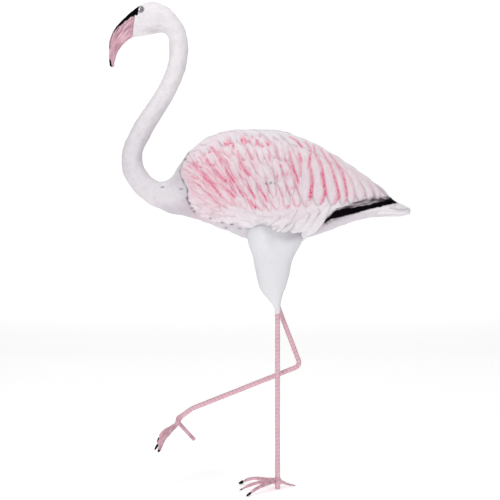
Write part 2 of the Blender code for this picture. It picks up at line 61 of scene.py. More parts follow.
# Sections of the bird from the bill's tip to the tail's tip, in modules from the point between the sockets:
# a point on the line of bill ridge, crown, nape and back, the point across from it on the line of chin,
# throat, breast and belly, and the half width between them.
SECTIONS = np.array([
    (-165.5, 237.6, -164.9, 237.6, 0.35),
    (-166.9, 238.5, -163.7, 238.4, 1.55),
    (-167.8, 241.6, -163.0, 241.4, 2.2),
    (-168.3, 252.5, -159.9, 252.0, 2.9),
    (-166.5, 269.0, -151.8, 263.0, 4.8),
    (-157.8, 282.2, -145.4, 267.4, 6.4),
    (-144.1, 294.7, -144.1, 268.3, 8.2),
    (-132.3, 301.8, -132.3, 269.7, 10.6),
    (-122.1, 303.0, -124.3, 271.0, 11.8),
    (-107.8, 296.2, -115.3, 272.3, 11.4),
    (-95.3, 281.6, -110.0, 268.4, 10.0),
    (-89.5, 262.0, -108.1, 256.5, 9.5),
    (-90.7, 241.2, -109.1, 243.6, 9.3),
    (-100.7, 213.6, -117.1, 221.7, 9.4),
    (-114.1, 191.0, -130.0, 200.7, 9.7),
    (-126.6, 169.8, -144.1, 179.4, 10.1),
    (-135.2, 149.0, -155.3, 151.5, 10.5),
    (-133.2, 137.8, -154.7, 133.4, 11.0),
    (-125.5, 127.4, -144.1, 115.0, 11.9),
    (-114.7, 123.4, -127.3, 100.4, 14.2),
    (-104.7, 129.6, -109.7, 92.5, 19.0),
    (-93.1, 147.2, -94.3, 89.0, 26.0),
    (-77.3, 162.4, -76.7, 84.4, 32.5),
    (-54.3, 172.6, -53.3, 75.0, 37.5),
    (-26.3, 175.0, -25.8, 65.0, 39.5),
    (5.2, 172.9, 4.7, 62.8, 37.0),
    (34.7, 162.0, 33.7, 68.2, 31.5),
    (61.7, 146.7, 59.7, 77.2, 25.5),
    (85.2, 130.6, 82.7, 85.2, 20.0),
    (106.2, 114.2, 104.7, 88.2, 15.5),
    (117.2, 104.4, 116.7, 88.9, 13.0),
    (126.2, 100.0, 126.2, 89.0, 10.5),
    (132.4, 96.6, 132.4, 90.8, 6.5),
])
SECTION_MIDDLES = (SECTIONS[:, 0:2] + SECTIONS[:, 2:4]) / 2
KEYS = np.concatenate([[0.0], np.cumsum(np.hypot(*np.diff(SECTION_MIDDLES, axis=0).T))])
HEAD_END, NECK_END, WING_START, WING_OPEN = KEYS[10], KEYS[19], KEYS[20], KEYS[22]
TAIL_END = KEYS[-1]

# Levels of a thigh, top to bottom: its front, its back, its height and its half width, in modules.
THIGH = np.array([
    (-33.0, 24.0, 86.0, 12.6),
    (-32.2, 24.6, 77.0, 14.2),
    (-30.3, 25.0, 66.1, 12.6),
    (-24.4, 15.3, 45.3, 11.2),
    (-20.6, 11.3, 27.7, 9.6),
    (-17.5, 8.0, 17.0, 8.0),
    (-13.7, 5.4, 10.8, 6.6),
    (-9.9, 4.3, 6.2, 5.2),
    (-6.0, 3.3, 1.7, 4.0),
])
COLLAR_DROP = {"left": 3.6, "right": -1.2}
NUB_END = 8.3  # the standing bar is coated with resin down to here, in modules under the sockets

# Carved lines, on the sheet.
WING_EDGE = (
    (188.2, 154.0), (185.8, 161.5), (183.7, 166.4), (181.4, 173.1), (182.4, 178.0), (185.8, 183.8),
    (189.3, 191.3), (188.8, 197.1), (188.9, 201.3), (191.6, 205.5),
)
MOUTH = ((131.0, 27.0), (120.0, 34.0), (115.0, 41.0), (113.0, 52.0), (112.4, 62.0))
BILL_BASE = ((138.0, 13.0), (135.4, 17.0), (134.1, 25.0), (132.7, 35.5))
LORE_EDGE = (
    (109.0, 41.0), (112.0, 34.2), (117.0, 29.0), (121.5, 25.2), (127.5, 21.6), (131.0, 18.6), (135.0, 16.8),
    (137.6, 16.4), (139.5, 14.0),
)
FRINGE = (
    (246.0, 227.5), (250.6, 226.3), (260.6, 225.4), (265.9, 229.6), (273.6, 234.2), (281.2, 236.5),
    (288.9, 237.2), (296.5, 235.0), (304.2, 232.7), (311.8, 229.6), (319.5, 226.0), (330.0, 223.5),
    (345.0, 219.5),
)
DASHES = (  # short dark strokes of painted shade in the hollows of the breast, on the sheet
    (193.0, 209.0), (195.2, 212.3), (211.0, 219.0), (222.5, 223.2), (226.0, 228.0), (232.0, 225.0),
    (239.5, 229.0), (163.5, 188.0), (182.5, 190.5), (265.3, 185.8), (269.5, 185.2), (273.0, 185.4),
)
PINK_ARC = (
    (193.0, 169.0), (203.0, 162.0), (213.0, 152.0), (227.0, 147.5), (242.0, 144.0), (256.0, 144.0),
    (267.0, 149.0), (271.0, 160.0), (279.0, 169.5), (286.0, 178.0), (290.6, 190.0),
)
# The wing tips' black band: its smoky upper edge, its black core's upper edge, and its foot.
BAND_TOP = (
    (321.0, 222.0), (329.0, 215.0), (333.1, 210.3), (343.6, 206.9), (355.0, 202.4), (368.4, 198.2),
    (384.7, 197.2), (391.3, 197.6), (396.0, 201.0),
)
BAND_CORE = (
    (321.0, 223.0), (329.0, 216.0), (334.0, 211.4), (343.6, 208.8), (353.0, 208.0), (362.7, 206.3),
    (372.3, 204.4), (381.8, 201.6), (387.5, 199.2), (391.3, 198.6), (396.0, 200.6),
)
BAND_FOOT = (
    (321.0, 224.8), (326.0, 222.2), (329.3, 219.8), (334.0, 218.8), (343.6, 216.5), (353.0, 214.1),
    (362.7, 211.3), (372.3, 208.4), (381.8, 206.1), (391.3, 204.3), (396.0, 203.0),
)
JAW_FOLDS = (  # soft creases where the cheek meets the throat
    (
        (143.0, 32.0), (146.0, 31.0), (150.0, 29.4), (153.0, 28.9), (158.0, 27.5), (162.0, 27.4),
        (165.5, 30.0),
    ),
    ((148.0, 33.0), (151.0, 32.2), (155.0, 31.9), (158.0, 30.6)),
)
# Small strokes of paint on the head and at the bill, as lines, and blots at the ends of the wing's edge, as
# places.
CROWN_STROKE = ((132.0, 10.0), (138.4, 5.6))
BILL_EDGE_STROKE = ((109.3, 42.0), (109.2, 48.0))
BILL_TIP_STROKE = ((109.8, 60.5), (111.0, 67.0))
BROW_STROKE = ((137.0, 8.6), (139.5, 7.6))
EDGE_BLOTS = ((188.0, 154.5), (186.0, 160.8), (188.9, 199.5), (190.5, 203.5))
# Brush marks of strong pink on the wing: streaks along feathers, as lines, and dabs, each with its place,
# heading, length and strength.
PINK_STREAKS = (
    ((194.5, 166.5), (199.0, 171.5), (205.2, 178.1), (212.1, 185.8), (221.3, 196.5)),
    ((207.5, 165.1), (216.0, 172.0), (222.8, 180.4), (227.4, 185.0)),
    ((221.3, 185.0), (227.4, 191.9), (235.1, 198.8)),
    ((216.7, 154.4), (225.9, 165.9), (227.4, 173.6), (235.1, 185.0)),
    ((236.6, 188.9), (243.5, 197.3)),
    ((238.1, 154.4), (240.4, 165.9), (245.0, 173.6), (248.9, 178.1)),
    ((245.0, 183.5), (255.0, 200.3)),
    ((246.6, 199.6), (256.5, 210.3)),
    ((258.0, 186.6), (266.5, 202.6)),
    ((287.9, 154.4), (293.2, 173.6), (297.1, 185.0)),
    ((284.8, 162.8), (292.5, 175.1)),
    ((289.0, 138.8), (295.2, 142.0), (300.5, 149.1)),
    ((303.7, 142.0), (309.5, 150.9), (308.6, 160.7), (306.8, 168.8)),
    ((309.5, 171.4), (311.3, 183.0), (308.6, 200.9)),
    ((308.3, 173.0), (309.6, 184.0), (307.6, 199.0)),
    ((313.0, 146.4), (313.5, 154.5), (319.3, 169.6), (323.8, 192.0), (324.6, 200.9)),
    ((319.0, 174.0), (322.0, 190.0), (323.2, 199.5)),
    ((319.3, 149.1), (330.9, 172.3), (338.0, 199.1)),
    ((325.5, 150.9), (340.7, 173.2), (345.2, 196.4)),
)
PINK_DABS = (
    (195.3, 165.9, 30, 3.0, 0.8), (198.8, 165.0, 50, 2.5, 0.7), (208.3, 163.2, 60, 3.5, 0.8),
    (204.8, 158.4, 30, 2.5, 0.7), (212.9, 150.8, 40, 3.5, 1.0), (215.5, 153.5, 60, 2.5, 0.6),
    (225.9, 147.0, 50, 3.5, 1.0), (233.6, 149.7, 80, 3.5, 1.0), (242.0, 143.5, 75, 4.5, 1.0),
    (249.5, 144.0, 70, 3.0, 0.9), (252.0, 140.0, 75, 3.5, 0.6), (257.0, 143.7, 50, 2.5, 0.9),
    (259.6, 138.4, 70, 3.0, 0.7), (267.2, 147.0, 60, 3.5, 1.0), (268.8, 159.5, 85, 6.5, 0.6),
    (274.9, 155.2, 60, 2.5, 0.6), (279.8, 169.0, 70, 3.0, 0.9), (276.2, 179.0, 88, 5.0, 0.7),
    (285.6, 176.6, 60, 2.5, 0.6), (290.6, 190.0, 50, 2.5, 0.6), (298.8, 160.0, 75, 8.5, 0.9),
    (287.0, 207.6, 20, 2.0, 0.9), (250.0, 208.0, 50, 4.5, 0.8), (240.5, 193.0, 50, 4.0, 0.8),
    (265.0, 208.0, 60, 3.5, 0.6), (272.0, 211.5, 60, 2.5, 0.6), (297.0, 207.0, 10, 4.5, 0.5),
)
EYE = (141.2, 11.3)

# The paints that a resin piece carries as attributes: on every piece, on the skin alone and on feathers
# alone.
# The lilac-grey one among them is painted shade: the shadow under the flank's fringe, and shade under the
# chin and belly, along edges and on the lower sides of feathers.
PAINTS = ("plain", "painted_shade", "wash", "grey", "smoke", "black", "across", "along", "leaf")
SKIN_PAINTS = ("streak", "bill")
FEATHER_PAINTS = ("flush", "groove")

# Kinds of feather, by number: covert or flank feather, tertial, black wing tip, tail feather, feather on the
# ridge.
COVERT, TERTIAL, WING_TIP, TAIL_FEATHER, ON_RIDGE = range(5)

# Rows of coverts on one side. A row is the first, middle and last of its tips on the sheet, their number, the
# first and last feather's length, heading (degrees under straight back) and width, then their lift, bow, and
# how strongly their rims are painted: pink, then grey, which is painted shade along the rim.
ROWS = (
    # upper back
    ((216, 141), (246, 133.5), (286, 137.5), 7, (24, 34), (20, 28), (14, 14), 0.5, 0.02, 0.05, 0.06),
    ((300, 148), (333, 166), (364, 187.5), 8, (34, 30), (34, 42), (13, 12), 0.8, 0.03, 0.12, 0.10),
    ((203, 156), (231, 143), (262, 139), 7, (26, 34), (36, 42), (13, 13), 0.5, 0.03, 0.10, 0.05),  # shoulder
    ((258, 150), (281, 149), (301, 151), 6, (34, 40), (48, 46), (11, 12), 0.7, 0.05, 0.30, 0.05),
    ((198, 168), (226, 152), (263, 150), 10, (18, 22), (44, 68), (9, 9), 0.6, 0.0, 0.35, 0.0),
    # small coverts
    ((201, 179), (233, 166), (270, 171), 11, (26, 28), (46, 72), (9.5, 9.5), 1.1, 0.03, 0.9, 0.05),
    # long coverts
    ((206, 191), (243, 183), (288, 187), 12, (36, 36), (44, 74), (10, 10), 1.3, 0.04, 0.9, 0.08),
    ((215, 200), (253, 200), (301, 200), 12, (40, 34), (44, 78), (10.5, 10.5), 1.5, 0.05, 0.95, 0.08),
    ((229, 206.5), (262, 213), (306, 208.5), 11, (34, 28), (44, 78), (10.5, 10.5), 1.5, 0.05, 0.8, 0.1),
    ((274, 163), (289, 167), (305, 174), 5, (30, 34), (66, 82), (10, 12), 1.1, 0.04, 0.8, 0.1),
    ((194.5, 180), (198.5, 188), (206, 197), 4, (15, 22), (38, 44), (9, 9), 0.7, 0.02, 0.35, 0.0),  # wrist
    # side of the breast
    ((197, 203), (215, 205), (236, 208), 7, (17, 19), (22, 34), (9, 9), 0.8, 0.0, 0.25, 0.12),
    ((203, 211), (222, 214), (243, 215), 7, (17, 19), (20, 28), (9, 10), 0.8, 0.0, 0.12, 0.2),
    ((213, 219), (230, 223), (249, 222), 6, (16, 18), (22, 24), (9, 10), 0.8, 0.0, 0.05, 0.25),
    ((246, 214), (270, 219), (297, 212), 8, (30, 38), (30, -36), (10, 10), 1.7, -0.05, 0.15, 0.1),  # flank
    ((251, 221.5), (276, 227), (305, 218), 8, (30, 42), (36, -38), (10, 10.5), 2.1, -0.06, 0.05, 0.12),
    ((263, 229.5), (285, 237), (308, 229), 8, (28, 42), (48, -34), (11, 11), 2.8, -0.06, 0.0, 0.15),
)

# Single feathers: tip on the sheet, length, heading, width, lift, bow, pink, grey (painted shade on the rim)
# and kind.
SINGLES = (
    (299.5, 181.0, 44, 70, 11.0, 1.7, 0.02, 0.7, 0.1, TERTIAL),
    (306.0, 207.0, 64, 86, 14.0, 1.8, 0.02, 0.8, 0.1, TERTIAL),
    (321.0, 206.0, 64, 80, 16.5, 1.9, 0.02, 0.9, 0.1, TERTIAL),
    (335.0, 205.0, 62, 72, 15.5, 1.9, 0.03, 0.8, 0.1, TERTIAL),
    (345.0, 204.3, 58, 68.5, 13.0, 1.8, 0.03, 0.7, 0.15, TERTIAL),
    (353.0, 202.5, 50, 66, 12.0, 1.8, 0.03, 0.35, 0.25, TERTIAL),
    (362.5, 200.5, 44, 62, 12.5, 1.7, 0.03, 0.25, 0.25, TERTIAL),
    (372.5, 199.0, 38, 56, 12.0, 1.6, 0.03, 0.2, 0.25, TERTIAL),
    (381.0, 199.0, 33, 52, 9.5, 1.6, 0.02, 0.25, 0.25, TERTIAL),
    (387.5, 199.2, 30, 50, 8.5, 1.6, 0.02, 0.25, 0.3, TERTIAL),
    (309.5, 212.5, 40, -42, 10.5, 1.6, -0.08, 0.1, 0.12, COVERT),  # last of the flank, swept up to the back
    (319.0, 209.0, 42, -43, 10.5, 1.7, -0.09, 0.1, 0.12, COVERT),
    (330.0, 203.5, 46, -43, 10.5, 1.8, -0.09, 0.05, 0.15, COVERT),
    (328.5, 210.0, 46, -40, 10.0, 1.9, -0.07, 0.0, 0.15, COVERT),
    (326.0, 216.5, 44, -37, 10.0, 2.0, -0.06, 0.0, 0.2, COVERT),
    (320.0, 222.5, 40, -34, 10.0, 2.1, -0.05, 0.0, 0.2, COVERT),
    (394.6, 202.6, 74, -14.5, 6.0, 2.0, 0.015, 0.0, 0.0, WING_TIP),
    (391.0, 199.8, 66, -14.0, 6.0, 2.3, 0.015, 0.0, 0.0, WING_TIP),
    (382.0, 199.6, 55, -13.0, 6.0, 1.9, 0.0, 0.0, 0.0, WING_TIP),
    (370.0, 201.0, 44, -13.0, 6.0, 1.6, 0.0, 0.0, 0.0, WING_TIP),
    (409.8, 212.0, 40, -4, 8.0, 0.7, 0.0, 0.0, 0.2, TAIL_FEATHER),
    (408.5, 209.4, 44, 8, 6.5, 0.7, 0.0, 0.0, 0.2, TAIL_FEATHER),
    (404.0, 214.5, 46, -10, 8.0, 0.7, 0.0, 0.0, 0.2, TAIL_FEATHER),
)
RIDGE = (  # tips on the line of the back, each the same on both sides
    (226, 131), (243, 130), (260, 130), (277, 131.5), (294, 135), (311, 142.5), (327, 150.5), (343, 160.5),
    (358, 171.3), (372, 181.8), (385, 192.0),
)

# Hand carving: how far a row's feathers differ in their tips (modules), headings (degrees) and sizes (share).
UNEVEN_TIP, UNEVEN_HEADING, UNEVEN_LENGTH = 1.7, 6.0, 0.18

# The raised bar, the bends and the feet, as in the CAD, in metres and degrees.
SOCKET_DEPTH = 0.055
HIP_RUN, HIP_SLOPE = 0.1118, math.radians(69.05)
SHANK_RUN, SHANK_SLOPE = 0.2000, math.radians(21.6)
ANKLE_RUN, ANKLE_SLOPE = 0.027, math.radians(36.3)
HEEL_BEND, ANKLE_BEND = 0.0095, 0.030
HUB_WALL, HUB_HEIGHT, HUB_BOTTOM = 0.0026, 0.0145, 0.0075
TOE_RADIUS = 0.0034
TOE_ROOT_HEIGHT = HUB_BOTTOM + 0.52 * HUB_HEIGHT
# A toe: its length, how far it fans out, its dips at root and claw, and its claw's size. A web lies between
# two toes of the raised foot and has no claw.
TOES = ((0.086, -50.0, 8.0, 30.0, 0.9), (0.070, -14.0, 6.0, 32.0, 0.62), (0.0855, 32.5, 3.0, 42.0, 1.2))
HIND_TOE = (0.041, 142.0, 20.0, 12.0)
RAISED_TOES = (
    (0.0658, -41.0, 4.0, 20.0, 0.6),
    (0.0588, -2.0, 2.0, 17.0, 0.9),
    (0.0624, 32.0, -7.5, 20.0, 0.9),
)
BLUNT_TOE_FAN, BLUNT_TOE_RADIUS = -41.0, 0.0029  # the raised foot's near toe stays thick to its end
KNUCKLES, RAISED_KNUCKLES = (0.45, 0.72), (0.42, 0.70)
RAISED_WEBS = ((0.048, -21.0, 3.0, 16.0), (0.050, 15.0, -3.5, 17.0))
RAISED_TILT = math.radians(41.0)
RAISED_HUB_REACH, RAISED_HUB_SLOPE = 0.0107, math.radians(72.0)
RAISED_SEAT = 0.0050
RAISED_HIND_LENGTH, RAISED_HIND_SLOPE = 0.0425, math.radians(47.4)
RAISED_HIND_RADIUS, RAISED_HUB_WALL = 0.0033, 0.0011
CLAW_SWELL = np.array([0.9, 1.35, 1.5, 1.55, 1.5, 1.25, 0.7])  # a claw's radius in shares of its toe's
FOOT_VOXEL, FOOT_ROUNDS = 0.0005, 6  # the grid that makes a foot one skin, and how often that is relaxed
PIT_PLACE, PIT_SIZE = (-0.0039, -0.0018, 0.0141), 0.0016  # from the bar's near side on the ground
COAT_WALL = 0.53  # resin over the bar at a thigh's end, in modules
SKIN_COLUMNS = 160
MM = 1000.0  # millimetres in a metre
EYE_RADIUS, EYE_SINK, EYE_COLUMNS = 3.1, 1.5, 48


def from_hex(text):
    """An sRGB hex colour as linear light, opaque. A share c is c/12.92 up to 0.04045, and above it
    ((c + 0.055)/1.055)^2.4.
    """
    shares = np.array([int(text[start:start + 2], 16) for start in (1, 3, 5)]) / 255
    linear = np.where(shares <= 0.04045, shares / 12.92, ((shares + 0.055) / 1.055) ** 2.4)
    return (*map(float, linear), 1.0)


def length_property(name, default, description):
    """A length of the statue that a user may change."""
    return bpy.props.FloatProperty(
        name=name, default=default, min=0.0, unit="LENGTH", precision=5, description=description
    )


def colour_property(name, default, description):
    """A colour of the statue that a user may change, given by its hex value."""
    return bpy.props.FloatVectorProperty(
        name=name,
        default=from_hex(default),
        size=4,
        min=0.0,
        max=1.0,
        subtype="COLOR",
        description=description,
    )


class FlamingoSizes(bpy.types.PropertyGroup):
    """Sizes of the statue."""

    figure_height: length_property("Figure height", 0.5165, "From the leg sockets to the crown")
    leg_length: length_property("Leg length", 0.3107, "From the ground to the leg sockets")
    leg_spacing: length_property("Leg spacing", 0.024, "Between the two bars, across the body")
    bar_diameter: length_property("Bar diameter", 0.008, "Core diameter of the ribbed steel bars")
    rib_pitch: length_property("Rib pitch", 0.0066, "From one rib of a bar to the next")
    rib_height: length_property("Rib height", 0.00042, "How far the ribs stand proud of a bar")
    feather_lift: bpy.props.FloatProperty(
        name="Feather lift",
        default=1.0,
        min=0.2,
        max=2.0,
        subtype="FACTOR",
        description="Depth of the feather carving",
    )


class FlamingoColours(bpy.types.PropertyGroup):
    """Colours of the paint."""

    plumage: colour_property("Plumage", "#F6F1F5", "Off-white of the body and the neck")
    # Shade colours the painted shade in hollows and under edges, and also the random mottling of the paint.
    shade: colour_property("Shade", "#B9ADBB", "Lilac-grey rubbed into the hollows")
    wash: colour_property("Wash", "#F3BFCE", "Pale pink washed over the wing")
    streak: colour_property("Streak", "#EE5C8A", "Strong pink in the grooves of the wing")
    black: colour_property("Black", "#060205", "Wing tips, lores and claws")
    bill: colour_property("Bill", "#E6B6C4", "Pink of the bill")
    leg: colour_property("Leg", "#F2C6D0", "Pink of the bars and feet")
    # Leg recess also colours the painted shade on the bars' front and back and in the feet's hollows and pit.
    leg_recess: colour_property("Leg recess", "#B27F92", "Darker pink between the ribs")
    iris: colour_property("Eye white", "#F4F0F4", "White of the eye")
    stage: colour_property("Stage", "#FFFFFF", "Floor and backdrop")


def sizes():
    """The sizes set in the panel."""
    return bpy.context.scene.flamingo_sizes


def colours():
    """The colours set in the panel."""
    return bpy.context.scene.flamingo_colours


def module():
    """One module of the drawing, in metres."""
    return sizes().figure_height / MODULES_HIGH


def across(side):
    """Where a leg stands: the left one on y = 0, the right one a leg spacing to its right."""
    return 0.0 if side == "left" else sizes().leg_spacing


def in_metres(points):
    """Modules from the point between the sockets turned into places in the frame."""
    return points * module() + [0.0, sizes().leg_spacing / 2, sizes().leg_length]


def off_sheet(places):
    """Places on the sheet as x and z in modules: across less the socket point's, and its down less theirs."""
    places = np.asarray(places, float)
    return np.stack([places[..., 0] - SHEET[0], SHEET[1] - places[..., 1]], axis=-1)


def smooth_step(low, high, value):
    """0 below low, 1 above high, and t^2 (3 - 2t) between."""
    share = np.clip((value - low) / (high - low), 0.0, 1.0)
    return share * share * (3.0 - 2.0 * share)


def through(keys, values, at):
    """A smooth curve through values given at keys, read at the places in at (cubic, with mean slopes)."""
    slopes = np.gradient(values, keys, axis=0)
    low = np.clip(np.searchsorted(keys, at, side="right") - 1, 0, len(keys) - 2)
    step = (keys[low + 1] - keys[low])[:, None]
    share = (at - keys[low])[:, None] / step
    start, end = values[low], values[low + 1]
    leaving, arriving = slopes[low] * step, slopes[low + 1] * step
    return (
        start * (1 + 2 * share) * (1 - share) ** 2
        + leaving * share * (1 - share) ** 2
        + end * share**2 * (3 - 2 * share)
        + arriving * share**2 * (share - 1)
    )


def dot(first, second):
    """The sum of the products of two vectors' parts."""
    return np.sum(first * second, axis=-1)


def unit(vectors):
    """Vectors over their lengths."""
    return vectors / np.maximum(np.linalg.norm(vectors, axis=-1, keepdims=True), 1e-12)


def skin(along, angle):
    """The uncarved bird in modules. At a place along its sections and an angle from the ridge, a point is the
    section's middle plus cos(angle) times its half height, and -sin(angle) times its half width across. The
    body is fuller above than below, by 16% at most.
    """
    rows = through(KEYS, SECTIONS, along)
    top, bottom, width = rows[:, 0:2], rows[:, 2:4], rows[:, 4]
    middle, half = (top + bottom) / 2, (top - bottom) / 2
    fullness = 0.16 * smooth_step(-115.0, -80.0, middle[:, 0]) * (along > 0.4 * TAIL_END)
    fullness = fullness * (1.0 - smooth_step(70.0, 120.0, middle[:, 0]))
    lean = np.sin(angle) * (1.0 + fullness * np.cos(angle))
    rise = middle + half * np.cos(angle)[:, None]
    return np.stack([rise[:, 0], -width * lean, rise[:, 1]], axis=-1)


def skin_frame(along, angle):
    """A point of the skin and its outward normal, from the cross product of its two slopes."""
    here = skin(along, angle)
    by_angle = skin(along, angle + 0.01) - skin(along, angle - 0.01)
    by_along = skin(along + 0.2, angle) - skin(along - 0.2, angle)
    return here, unit(np.cross(by_angle, by_along))


def near_line(points, line):
    """How far points are from a line of straight runs, in the side view, and on which side of it (+1 or -1).
    """
    line = off_sheet(line)
    best = np.full(points.shape[:-1], np.inf)
    side = np.zeros(points.shape[:-1])
    for (x0, z0), (x1, z1) in zip(line, line[1:]):
        run = np.array([x1 - x0, z1 - z0])
        offset = points[..., [0, 2]] - [x0, z0]
        share = np.clip(offset @ run / (run @ run), 0.0, 1.0)
        distance = np.linalg.norm(offset - share[..., None] * run, axis=-1)
        turn = run[0] * offset[..., 1] - run[1] * offset[..., 0]
        side = np.where(distance < best, np.sign(turn), side)
        best = np.minimum(best, distance)
    return best, side


def sheet_height(points, line):
    """How far points are above a line that runs left to right on the sheet."""
    line = off_sheet(line)
    return points[..., 2] - np.interp(points[..., 0], line[:, 0], line[:, 1])


def lumps(points, wavelength, seed):
    """Soft unevenness between about -1 and 1: the mean of twelve sine waves in random directions."""
    chance = np.random.default_rng(seed)
    waves = unit(chance.normal(size=(12, 3))) * chance.uniform(0.7, 1.4, (12, 1)) * 2 * math.pi / wavelength
    phases = chance.uniform(0.0, 2 * math.pi, 12)
    return np.sin(points @ waves.T + phases).sum(axis=-1) / 4.0


def body_relief(points, normals):
    """Height over the smooth skin that feathers stand on: the folded wing's front, and soft unevenness."""
    x, z = points[..., 0], points[..., 2]
    distance, side = near_line(points, WING_EDGE)
    signed = distance * side
    within = smooth_step(74.0, 96.0, z) * (1.0 - smooth_step(140.0, 158.0, z)) * (x > -112.0)
    fade = 1.0 - smooth_step(-62.0, -30.0, x)
    wing = smooth_step(-0.6, 2.6, signed) * within * fade * 2.1
    wrist = np.exp(-((signed - 6.0) / 6.0) ** 2) * within * (signed > -1) * 0.7
    ditch = np.exp(-((signed + 0.6) / 1.1) ** 2) * within * 0.7
    even = lumps(points, 17.0, 3) * 0.30 + lumps(points, 7.0, 4) * 0.14
    return (wing + wrist - ditch) * (np.abs(normals[..., 1]) > 0.15) + even


def head_relief(points, normals):
    """Height over the smooth skin on the head, as bells and steps of the distance to a line: the mouth line,
    the ridge at the bill's base, the eye socket with its lid, the brow and the jaw's folds.
    """
    x, z = points[..., 0], points[..., 2]
    sideways = smooth_step(0.2, 0.55, np.abs(normals[..., 1]))
    mouth, _ = near_line(points, MOUTH)
    relief = -0.45 * np.exp(-((mouth / 0.7) ** 2)) * sideways
    base, side = near_line(points, BILL_BASE)
    signed = base * side
    relief = relief + 0.5 * smooth_step(-0.5, 0.9, signed) * (1.0 - smooth_step(4.0, 22.0, signed))
    relief = relief - 0.25 * np.exp(-((signed + 0.3) / 0.6) ** 2)
    eye_x, eye_z = off_sheet(EYE)
    from_eye = np.hypot(x - eye_x, z - eye_z)
    relief = relief + sideways * 0.75 * np.exp(-((from_eye - 3.4) / 0.8) ** 2)
    relief = relief - sideways * 0.5 * np.exp(-((from_eye / 2.2) ** 2))
    brow = np.hypot((x - eye_x - 1.0) / 8.0, (z - eye_z - 4.0) / 1.8)
    relief = relief + sideways * 0.35 * np.exp(-(brow**2))
    for fold, depth in zip(JAW_FOLDS, (0.35, 0.2)):
        relief = relief - depth * sideways * np.exp(-((near_line(points, fold)[0] / 0.9) ** 2))
    return relief + lumps(points, 6.0, 5) * 0.10


def skin_grid(rows_at, columns):
    """The carved skin as a grid of points: skin plus relief along its normal, with the relief of the head,
    the neck and the body each in its own stretch.
    """
    angle = np.linspace(0.0, 2 * math.pi, columns, endpoint=False)
    along = np.repeat(rows_at, columns)
    points, normals = skin_frame(along, np.tile(angle, len(rows_at)))
    on_body = smooth_step(NECK_END - 25.0, NECK_END - 5.0, along)
    on_head = 1.0 - smooth_step(HEAD_END - 15.0, HEAD_END, along)
    on_neck = (1.0 - on_body) * (1.0 - on_head)
    neck = lumps(points, 13.0, 6) * 0.28 + lumps(points, 4.5, 7) * 0.17
    relief = body_relief(points, normals) * on_body + head_relief(points, normals) * on_head + neck * on_neck
    carved = points + normals * relief[:, None]
    return carved.reshape(len(rows_at), columns, 3)


def stroke(points, line, solid, soft):
    """1 within solid of a line, falling to 0 at soft modules from it."""
    return 1.0 - smooth_step(solid, soft, near_line(points, line)[0])


def line_bell(points, line, width):
    """A bell of this width, exp(-(distance/width)^2), along a line."""
    return np.exp(-((near_line(points, line)[0] / width) ** 2))


def paint_on_skin(points):
    """Where each paint lies on the skin, from its place on the sheet: shares from 0 to 1."""
    x, z = points[..., 0], points[..., 2]
    base, side = near_line(points, BILL_BASE)
    bill = smooth_step(-0.35, 0.35, -base * side) * (x < -130.0) * (z > 235.0)
    bill = bill * (z < 296.0)
    lore = smooth_step(-1.4, 0.9, sheet_height(points, LORE_EDGE) + 0.8 * lumps(points, 3.0, 8))
    lore = lore * (1.0 - smooth_step(-138.9, -137.9, x)) * (z > 258.0)
    crown = stroke(points, CROWN_STROKE, 0.5, 1.4)
    bill_edge = stroke(points, BILL_EDGE_STROKE, 0.6, 1.7)
    bill_tip = stroke(points, BILL_TIP_STROKE, 0.7, 1.6)
    core, smoke = band_paint(points)
    fading = smooth_step(-8.5, -0.5, sheet_height(points, LORE_EDGE)) * bill * (z > 262.0)
    smoke = np.maximum(smoke, fading * np.clip(0.42 + 0.60 * lumps(points, 2.6, 15), 0.0, 0.95))
    black = np.maximum.reduce([lore, crown, bill_edge * 0.8, bill_tip * 0.9, core])

    edge, edge_side = near_line(points, WING_EDGE)
    line = np.exp(-((edge * edge_side + 0.3) / 0.85) ** 2) * (x > -110.0)
    line = line * np.clip(0.75 + 0.55 * lumps(points, 7.0, 13), 0.25, 1.0)
    blots = [oval_bell(points, blot, (1.5, 1.5)) for blot in off_sheet(EDGE_BLOTS)]
    mouth = line_bell(points, MOUTH, 0.6) * 0.22 * (x < -143.0)
    seam = np.exp(-(((base * side) / 0.5) ** 2)) * 0.55 * (x < -125.0)
    eye_x, eye_z = off_sheet(EYE)
    from_eye = np.hypot(x - eye_x, z - eye_z)
    lid = np.exp(-(((from_eye - 3.1) / 0.65) ** 2)) * (0.75 + 0.2 * smooth_step(-3.0, 3.0, x - eye_x))
    lid = np.maximum(lid, 0.45 * (from_eye < 3.1)) * (np.abs(points[..., 1]) > 4.0)
    folds = [line_bell(points, fold, 0.8) * 0.10 for fold in JAW_FOLDS]
    brow = stroke(points, BROW_STROKE, 0.3, 0.9)
    # Grey: a dark line along the wing's edge with blots at its ends, the brow stroke and the ring round the
    # eye, which is partly painted shade under the lid; and painted shade in the creases of mouth, bill base
    # and jaw and in the hollows under the breast feathers.
    grey = np.maximum.reduce([line * 0.75, *blots, mouth, seam, lid, *folds, brow * 0.7, dashes(points)])

    arc = line_bell(points, PINK_ARC, 5.0)
    streak = (0.7 * arc + 0.10) * on_wing(points) * (1 - smooth_step(20, 50, x))
    return {
        "bill": bill,
        "black": black,
        "smoke": smoke,
        "grey": grey,
        "streak": np.clip(streak, 0, 1),
        "wash": wing_wash(points),
        # painted shade under the fringe, in front of the wing's edge, under the chin and over the lower neck
        "painted_shade": painted_shade_on_sheet(points),
    }


def edge_shade(along, turn):
    """Painted shade in lilac-grey along the bill's ridge and edge, the nape and the throat, and under the
    belly:
    |cos|^6 of the angle from the ridge on bill and neck, and a smooth step of -cos on the body.
    """
    lines = np.abs(np.cos(turn))[None, :] ** 6
    under = smooth_step(0.35, 0.95, -np.cos(turn))[None, :]
    on_bill = 1.0 - smooth_step(KEYS[5], KEYS[7], along)[:, None]
    on_body = smooth_step(NECK_END, WING_START, along)[:, None]
    on_neck = smooth_step(KEYS[7], KEYS[10], along)[:, None] * (1.0 - on_body)
    return 0.40 * on_bill * lines + 0.15 * on_neck * lines + 0.34 * on_body * under


